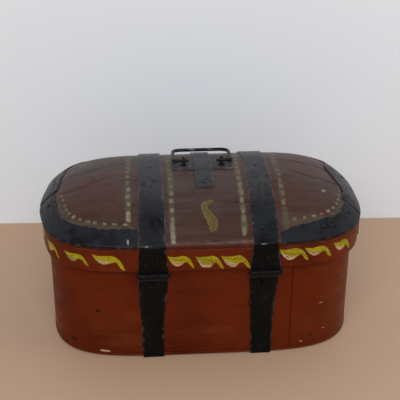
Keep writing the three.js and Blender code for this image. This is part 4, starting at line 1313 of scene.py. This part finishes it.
def nail_head(base, out, radius, height, seed):
    """A hammered head: a low dome with facets and an uneven outline, on a short shank."""
    profile = [
        (0.02 * mm, -3 * mm), (1.1 * mm, -2.4 * mm), (1.2 * mm, -0.2 * mm), (radius * 0.93, -0.05 * mm),
        (radius, height * 0.25), (radius * 0.94, height * 0.55), (radius * 0.72, height * 0.85),
        (radius * 0.38, height), (0.02 * mm, height * 1.02),
    ]
    shape = lathe(profile, base, out, 18)
    away = shape.points - np.asarray(base)
    shape.points += away * (0.14 * lumps(away + seed * 7 * mm, 3.2 * mm, seed))[:, None]
    over = away @ np.asarray(out)
    shape.values["edge"] = clamp(over / height) * 0.5
    return shape


def cad_nail(node):
    """Where a CAD nail's head sits and which way it points."""
    points = np.array([vertex.co for vertex in frame["nodes"][node].data.vertices]) - (0, centre_y, 0)
    apart = np.linalg.norm(points[:, None] - points[None], axis=-1)
    first, second = np.unravel_index(np.argmax(apart), apart.shape)
    middle = points.mean(0)
    ends = sorted((points[first], points[second]), key=lambda end: np.linalg.norm(end - middle))
    tip_of_head, point = ends
    out = (tip_of_head - point) / np.linalg.norm(tip_of_head - point)
    return tip_of_head - out * 1.7 * mm, out


def nails():
    names = sorted(name for name in frame["nodes"] if name.startswith("nail_"))
    for seed, name in enumerate(names):
        base, out = cad_nail(name)
        radius = chance.uniform(2.5, 3.1) * mm
        shape = nail_head(base, out, radius, chance.uniform(0.7, 1.1) * mm, seed)
        body = frame["nodes"][name]["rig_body"]
        add_piece(f"{name}_head", shape, body, [strap_iron], "nail_iron", name, sharp=50)


def small_tacks():
    """Smaller tacks along the irons, and one in the wood by the front joint."""
    spots = [(-236, -51), (-214, -110), (-165, -134), (229, -78), (190, -123), (89, -77), (-232, 24),
             (-167, -25)]
    for index, (x, y) in enumerate(spots):
        on_wood = index == len(spots) - 1
        place = np.array([x * mm]), np.array([y * mm])
        base = on_dome(*place, 0.0 if on_wood else gap + iron * 0.8)[0]
        shape = nail_head(base, dome_normal(*place)[0], chance.uniform(1.7, 2.3) * mm, 0.7 * mm, 90 + index)
        add_piece(f"tack_{index + 1}", shape, "lid", [strap_iron], "nail_iron", sharp=50)


def pegs():
    for index in range(1, 7):
        paint_cad_node(f"peg_{index}", hoop_finish)


# ---- Painted strokes ---------------------------------------------------------------------------


def curve_through(points, count):
    """A smooth curve of count points through (x, y) pairs."""
    points = np.asarray(points, float)
    spans = np.linalg.norm(np.diff(points, axis=0), axis=-1)
    counts = np.full(len(spans), 8)
    dense = flowing(points[:, None], spans, counts)[:, 0]
    run = run_along(dense)
    even = np.linspace(0, run[-1], count)
    return np.stack([np.interp(even, run, dense[:, axis]) for axis in range(2)], -1)


# One leaf, drawn to run right and down from its tip: the upper and lower side, in its own millimetres.
leaf_upper = [(0, 0), (5, -1.2), (11, -1.8), (17, -1.0), (23, -0.4), (28, -1.8), (32, -5.2), (35.5, -11),
              (38, -16.5), (39.5, -20)]
leaf_lower = [(0, 0), (2.4, -5.4), (5.6, -10.6), (9.6, -15), (14, -17.4), (18, -17.2), (22, -14.4),
              (25.6, -11.4), (28.8, -11), (31.6, -13.8), (34.4, -18), (38.4, -21)]


def bristle_lines(across, seed):
    return 0.5 + 0.5 * lumps(points_at(across * 9, seed, 0), 1.0, seed)


def leaf_stroke(start_way, start_z, scale, stretch, fullness, seed):
    """A leaf on the lid hoop, in thick paint; fullness says how far its belly hangs down."""
    columns, rows = 56, 15
    upper, lower = curve_through(leaf_upper, columns), curve_through(leaf_lower, columns)
    belly = clamp((32 - lower[:, 0]) / 10)
    lower[:, 1] *= mix(1, fullness, belly)
    from_tips = np.sin(np.linspace(0, np.pi, columns))
    for line, amount in ((upper, 0.7), (lower, 0.9)):
        line[:, 1] += amount * along_lumps(line[:, 0], 6.0, seed + amount) * from_tips
    across = np.linspace(0, 1, rows)[None, :]
    flat = mix(lower[:, None], upper[:, None], across[..., None])
    way = start_way + flat[..., 0] * scale * mm / perimeter
    z = start_z + flat[..., 1] * stretch * scale * mm
    x, y, normal_x, normal_y = outline(way, lid_face(way, z) - 0.05 * mm)
    spread = np.broadcast_to(across, way.shape)
    tips = np.sin(np.pi * np.linspace(0.02, 0.98, columns))[:, None] ** 0.5
    ridge = 0.55 + 0.45 * np.sin(np.pi * spread) ** 0.4
    bristles = bristle_lines(spread, seed)
    height = 0.10 * mm + 0.22 * mm * tips * ridge * (0.75 + 0.25 * bristles)
    along = np.linspace(0, 1, columns)[:, None]
    out = points_at(normal_x, normal_y, 0)
    return plate(points_at(x, y, z), out, height, across=spread, along=along, bristle=bristles)


# Leaves on the hinge side: the tip's x and z in millimetres, the scale, how far drawn out, the fullness.
front_leaves = [
    (-210, 185.5, 1.04, 0.88, 0.85), (-168, 188, 1.25, 1.0, 0.72), (-57, 185.5, 1.0, 1.02, 1.0),
    (-16, 183.5, 1.07, 1.0, 1.0), (22, 183.5, 1.13, 1.0, 1.0), (107.5, 190.5, 1.18, 0.93, 1.0),
    (147, 189.5, 1.14, 0.94, 0.8), (193.5, 188.5, 0.94, 1.1, 0.95),
]
# Leaves on the left end: how far round from the first leaf above, and the rest as above.
left_leaves = [(49, 187, 0.95, 1.05, 0.9), (97, 187, 0.9, 1, 1)]


def leaf_strokes():
    """The leaves of the two lists, and a regular row round the right end and the far side."""
    places = [(way_at(x * mm, -1), z * mm, *rest) for x, z, *rest in front_leaves]
    first = places[0][0]
    places += [(first - back * mm / perimeter, z * mm, *rest) for back, z, *rest in left_leaves]
    spacing = 43 * mm / perimeter
    way, last_way = 0.965, 1.47
    while way < last_way:
        middle_x, middle_y, _, _ = outline(np.array([way + spacing * 0.45]))
        blocked = [abs(middle_x[0] - x) < 38 * mm for x in (*strap_x.values(), iron_centre)]
        if not (any(blocked) and middle_y[0] > 100 * mm):
            z, scale = chance.uniform(186, 190) * mm, chance.uniform(0.9, 1.0)
            places.append((way, z, scale, chance.uniform(0.92, 1), chance.uniform(0.8, 1)))
        way += spacing
    for index, (way, z, scale, stretch, fullness) in enumerate(places):
        shape = leaf_stroke(way, z, scale, stretch, fullness, 40 + index)
        add_piece(f"leaf_stroke_{index + 1}", shape, "lid", [leaf_paint], "painted_hoops", sharp=60)


def scroll_stroke():
    """One curling stroke in the middle panel: a wedge-shaped head, a waist and a full belly."""
    spine = [(15.5, -88.5), (7, -91), (1, -96.5), (1.5, -104), (6, -112), (10.5, -120), (12, -128), (7, -136)]
    widths = [0.8, 3.6, 4.6, 4.8, 6.4, 7.9, 7.2, 2.4]
    line = curve_through(spine, 60) * mm
    reach = np.linspace(0, 1, 60)
    half = np.interp(reach, np.linspace(0, 1, len(widths)), widths) * mm
    way = np.gradient(line, axis=0)
    side = unit(np.stack([-way[:, 1], way[:, 0]], -1))
    across = np.linspace(0, 1, 15)[None, :]
    wobble = 0.5 * mm * along_lumps(reach, 0.11, 6)
    flat = line[:, None] + side[:, None] * ((2 * across - 1) * (half + wobble)[:, None])[..., None]
    base = plank_point(flat[..., 0], flat[..., 1], -0.03 * mm)
    spread = np.broadcast_to(across, base.shape[:2])
    bristles = bristle_lines(spread, 7)
    height = 0.08 * mm + 0.16 * mm * np.sin(np.pi * spread) ** 0.5 * (0.7 + 0.3 * bristles)
    out = dome_normal(flat[..., 0], flat[..., 1])
    shape = plate(base, out, height, across=spread, along=reach[:, None], bristle=bristles)
    add_piece("scroll_stroke", shape, "lid", [scroll_paint], "painted_planks", sharp=60)


def dab(x, y, half_x, half_y, turn, tint, ground, seed):
    """One dab of thick paint on the planks, paler where it is thick; ground is what it lies on."""
    cos, sin = circle(20)
    reach = 1 + 0.24 * lumps(points_at(cos, sin, seed), 0.7, seed)
    across = np.sign(cos) * np.abs(cos) ** 0.75 * reach * half_x
    along = np.sign(sin) * np.abs(sin) ** 0.75 * reach * half_y
    flat_x = across * math.cos(turn) - along * math.sin(turn)
    flat_y = across * math.sin(turn) + along * math.cos(turn)
    rings, tints = [], []
    for share, lift, paler in ((1.0, -0.05, -0.1), (0.95, 0.10, 0), (0.75, 0.20, 0.1), (0.2, 0.22, 0.15)):
        rings.append(plank_point(x + flat_x * share, y + flat_y * share, lift * mm + ground))
        tints.append(np.full(len(cos), tint + paler))
    return tube(np.array(rings), tint=np.array(tints))


def dab_row(name, places, seed):
    """places: (x, y, half width, half length, turn, tint, ground) of each dab."""
    row = reduce(Shape.__add__, (dab(*place, seed + index) for index, place in enumerate(places)))
    add_piece(name, row, "lid", [dab_finish], "painted_planks", sharp=70)


# Paler smears low on the hinge side: (column, y, half width, half length, tint) in millimetres
smears = [(0, -111, 3.8, 8.0, 0.42), (0, -104, 2.6, 3.0, 0.50),
          (1, -128, 3.0, 6.0, 0.32), (1, -139, 3.4, 6.5, 0.40), (1, -148, 3.0, 2.2, 0.60)]


dab_spacing = 15.5 * mm


def column_dabs(index, column):
    """One column's dabs, from the hinge side to the far side, paler near the hinge side."""
    lowest = -92 * mm if index in (0, 3) else -134 * mm
    half_lengths = (6.2, 7.6) if index == 2 else (3.6, 5.2)
    darker = 0.14 if index == 3 else 0
    places = []
    y = lowest + chance.uniform(-2, 2) * mm
    while y < 140 * mm:
        fading = clamp((y + 110 * mm) / (90 * mm))
        tint = mix(0.22, 0.0, fading) + chance.uniform(-0.10, 0.12) - darker
        half_x = chance.uniform(2.7, 3.7) * mm
        half_y = chance.uniform(*half_lengths) * mm
        turn = chance.uniform(-0.12, 0.12)
        if abs(y) > 6 * mm or chance.random() < 0.7:
            places.append((column + chance.uniform(-0.8, 0.8) * mm, y, half_x, half_y, turn, tint, 0))
        y += dab_spacing * chance.uniform(0.9, 1.1)
    for of_column, low_y, half_x, half_y, tint in smears:
        if of_column == index:
            places.append((column, low_y * mm, half_x * mm, half_y * mm, 0.03, tint, 0))
    return places


def border_dabs(start, end, further_in):
    """Dabs inside the planks' edge, from one share of the way round to another."""
    places = []
    way = start
    while way < end:
        _, _, end_on, _ = outline(np.array([way]))
        inset = dab_border + 3.5 * mm * abs(end_on[0]) + further_in
        x, y, normal_x, normal_y = outline(np.array([way]), overhang - inset)
        turn = math.atan2(normal_y[0], normal_x[0])
        tint = chance.choice((0.0, 0.05, 0.12, 0.32))
        half_x, half_y = chance.uniform(1.6, 2.8) * mm, chance.uniform(2.4, 4.2) * mm
        places.append((x[0], y[0], half_x, half_y, turn, tint, 0))
        way += chance.uniform(0.9, 1.4) * dab_spacing / perimeter
    return places


def dabs():
    """Four columns beside the lid straps, a border inside the edge irons, and two odd ones."""
    on_iron = (dab_columns[0] - 1 * mm, -146 * mm, 1.6 * mm, 3.5 * mm, 0.1, 0.55, gap + iron)
    for index, column in enumerate(dab_columns):
        places = column_dabs(index, column)
        if index == 0:
            places.append(on_iron)
        dab_row(f"dab_column_{index + 1}", places, 100 + 40 * index)
    quarters = {"front_left": (0.515, way_at(-118 * mm, -1)), "front_right": (way_at(138 * mm, -1), 0.985),
                "rear_right": (0.03, way_at(133 * mm, 1)), "rear_left": (way_at(-122 * mm, 1), 0.485)}
    for index, (name, (start, end)) in enumerate(quarters.items()):
        further_in = 19 * mm if name == "rear_right" else 0
        dab_row(f"dab_border_{name}", border_dabs(start, end, further_in), 300 + 40 * index)
    dab_row("pale_spot", [(188 * mm, -64 * mm, 4 * mm, 2.6 * mm, 0.3, 0.45, 0)], 500)


# ---- Stage, light and camera -------------------------------------------------------------------


def pale_surface(name, colour, roughness):
    finish = Finish(name)
    darker = tuple(share * 0.9 for share in colour)
    return finish.close(finish.mix(finish.noise(0.4, 3) * 0.12, colour, darker), roughness)


def clear_from_behind(material):
    """The backdrop shows only its front, so that it doesn't hide the box from behind."""
    nodes, links = material.node_tree.nodes, material.node_tree.links
    geometry = nodes.new("ShaderNodeNewGeometry")
    clear = nodes.new("ShaderNodeBsdfTransparent")
    choice = nodes.new("ShaderNodeMixShader")
    links.new(geometry.outputs["Backfacing"], choice.inputs["Fac"])
    links.new(nodes["Principled BSDF"].outputs[0], choice.inputs[1])
    links.new(clear.outputs[0], choice.inputs[2])
    links.new(choice.outputs[0], nodes["Material Output"].inputs["Surface"])


def plain_sheet(name, corners, material):
    """A flat stage piece."""
    mesh = bpy.data.meshes.new(name)
    mesh.from_pydata(corners, [], [(0, 1, 2, 3)])
    mesh.materials.append(material)
    into_scene(name, mesh)


def stage():
    """A pale floor with a pale backdrop behind the box, its foot a little askew."""
    reach, left, right, top = 4.0, 0.437, 0.171, 3.0
    floor = [(-reach, -reach, 0), (reach, -reach, 0), (reach, reach, 0), (-reach, reach, 0)]
    wall = [(-reach, left, 0), (reach, right, 0), (reach, right, top), (-reach, left, top)]
    wall_paint = pale_surface("pale_wall", (0.83, 0.87, 0.92), 0.6)
    clear_from_behind(wall_paint)
    plain_sheet("floor", floor, pale_surface("pale_floor", (0.46, 0.30, 0.195), 0.6))
    plain_sheet("backdrop", wall, wall_paint)


def area_light(name, place, target, size, power, colour):
    lamp = bpy.data.lights.new(name, "AREA")
    lamp.shape = "RECTANGLE"
    lamp.size, lamp.size_y = size
    lamp.energy = power
    lamp.color = colour
    light = into_scene(name, lamp)
    light.location = place
    light.rotation_euler = (Vector(target) - Vector(place)).to_track_quat("-Z", "Y").to_euler()


def lights():
    world = bpy.data.worlds.new("soft_room")
    world.use_nodes = True
    sky = world.node_tree.nodes["Background"].inputs
    sky["Color"].default_value = (0.93, 0.96, 1.0, 1)
    sky["Strength"].default_value = 0.42
    bpy.context.scene.world = world
    area_light("window_front", (-0.4, -2.4, 2.3), (0, 0.2, 0.3), (2.4, 1.6), 62, (0.98, 0.99, 1.0))
    area_light("window_left", (-2.2, 0.0, 1.5), (0, 0, 0.15), (1.4, 1.4), 3, (0.95, 0.98, 1.0))
    area_light("room_right", (2.2, -0.3, 1.3), (0, 0, 0.15), (1.4, 1.4), 16, (1.0, 0.98, 0.95))


def camera():
    """At the height and side of someone standing in front of the box and a little to its left."""
    place = Vector((-0.0899, -1.3209, 0.8587))
    yaw, pitch, roll = 0.069, 0.463, 0.002
    forward = Vector((math.sin(yaw) * math.cos(pitch), math.cos(yaw) * math.cos(pitch), -math.sin(pitch)))
    right = Vector((math.cos(yaw), -math.sin(yaw), 0))
    up = right.cross(forward)
    level_right = right * math.cos(roll) + up * math.sin(roll)
    level_up = up * math.cos(roll) - right * math.sin(roll)
    lens = bpy.data.cameras.new("camera")
    lens.sensor_width = 36
    lens.lens = 82.43
    viewer = into_scene("camera", lens)
    turn = Matrix((level_right, level_up, -forward)).transposed().to_4x4()
    viewer.matrix_world = Matrix.Translation(place) @ turn
    bpy.context.scene.camera = viewer
    bpy.context.scene.view_settings.view_transform = "Standard"


# ---- Build -------------------------------------------------------------------------------------

camera()
lights()
stage()
lid_planks()
hoops()
bottom_board()
for each_side in sides:
    lid_strap(each_side)
    body_strap(each_side)
    bail_eye(each_side)
edge_irons()
centre_strap()
handle_plate()
bail_handle()
closure()
hinge_pins()
nails()
small_tacks()
pegs()
leaf_strokes()
scroll_stroke()
dabs()
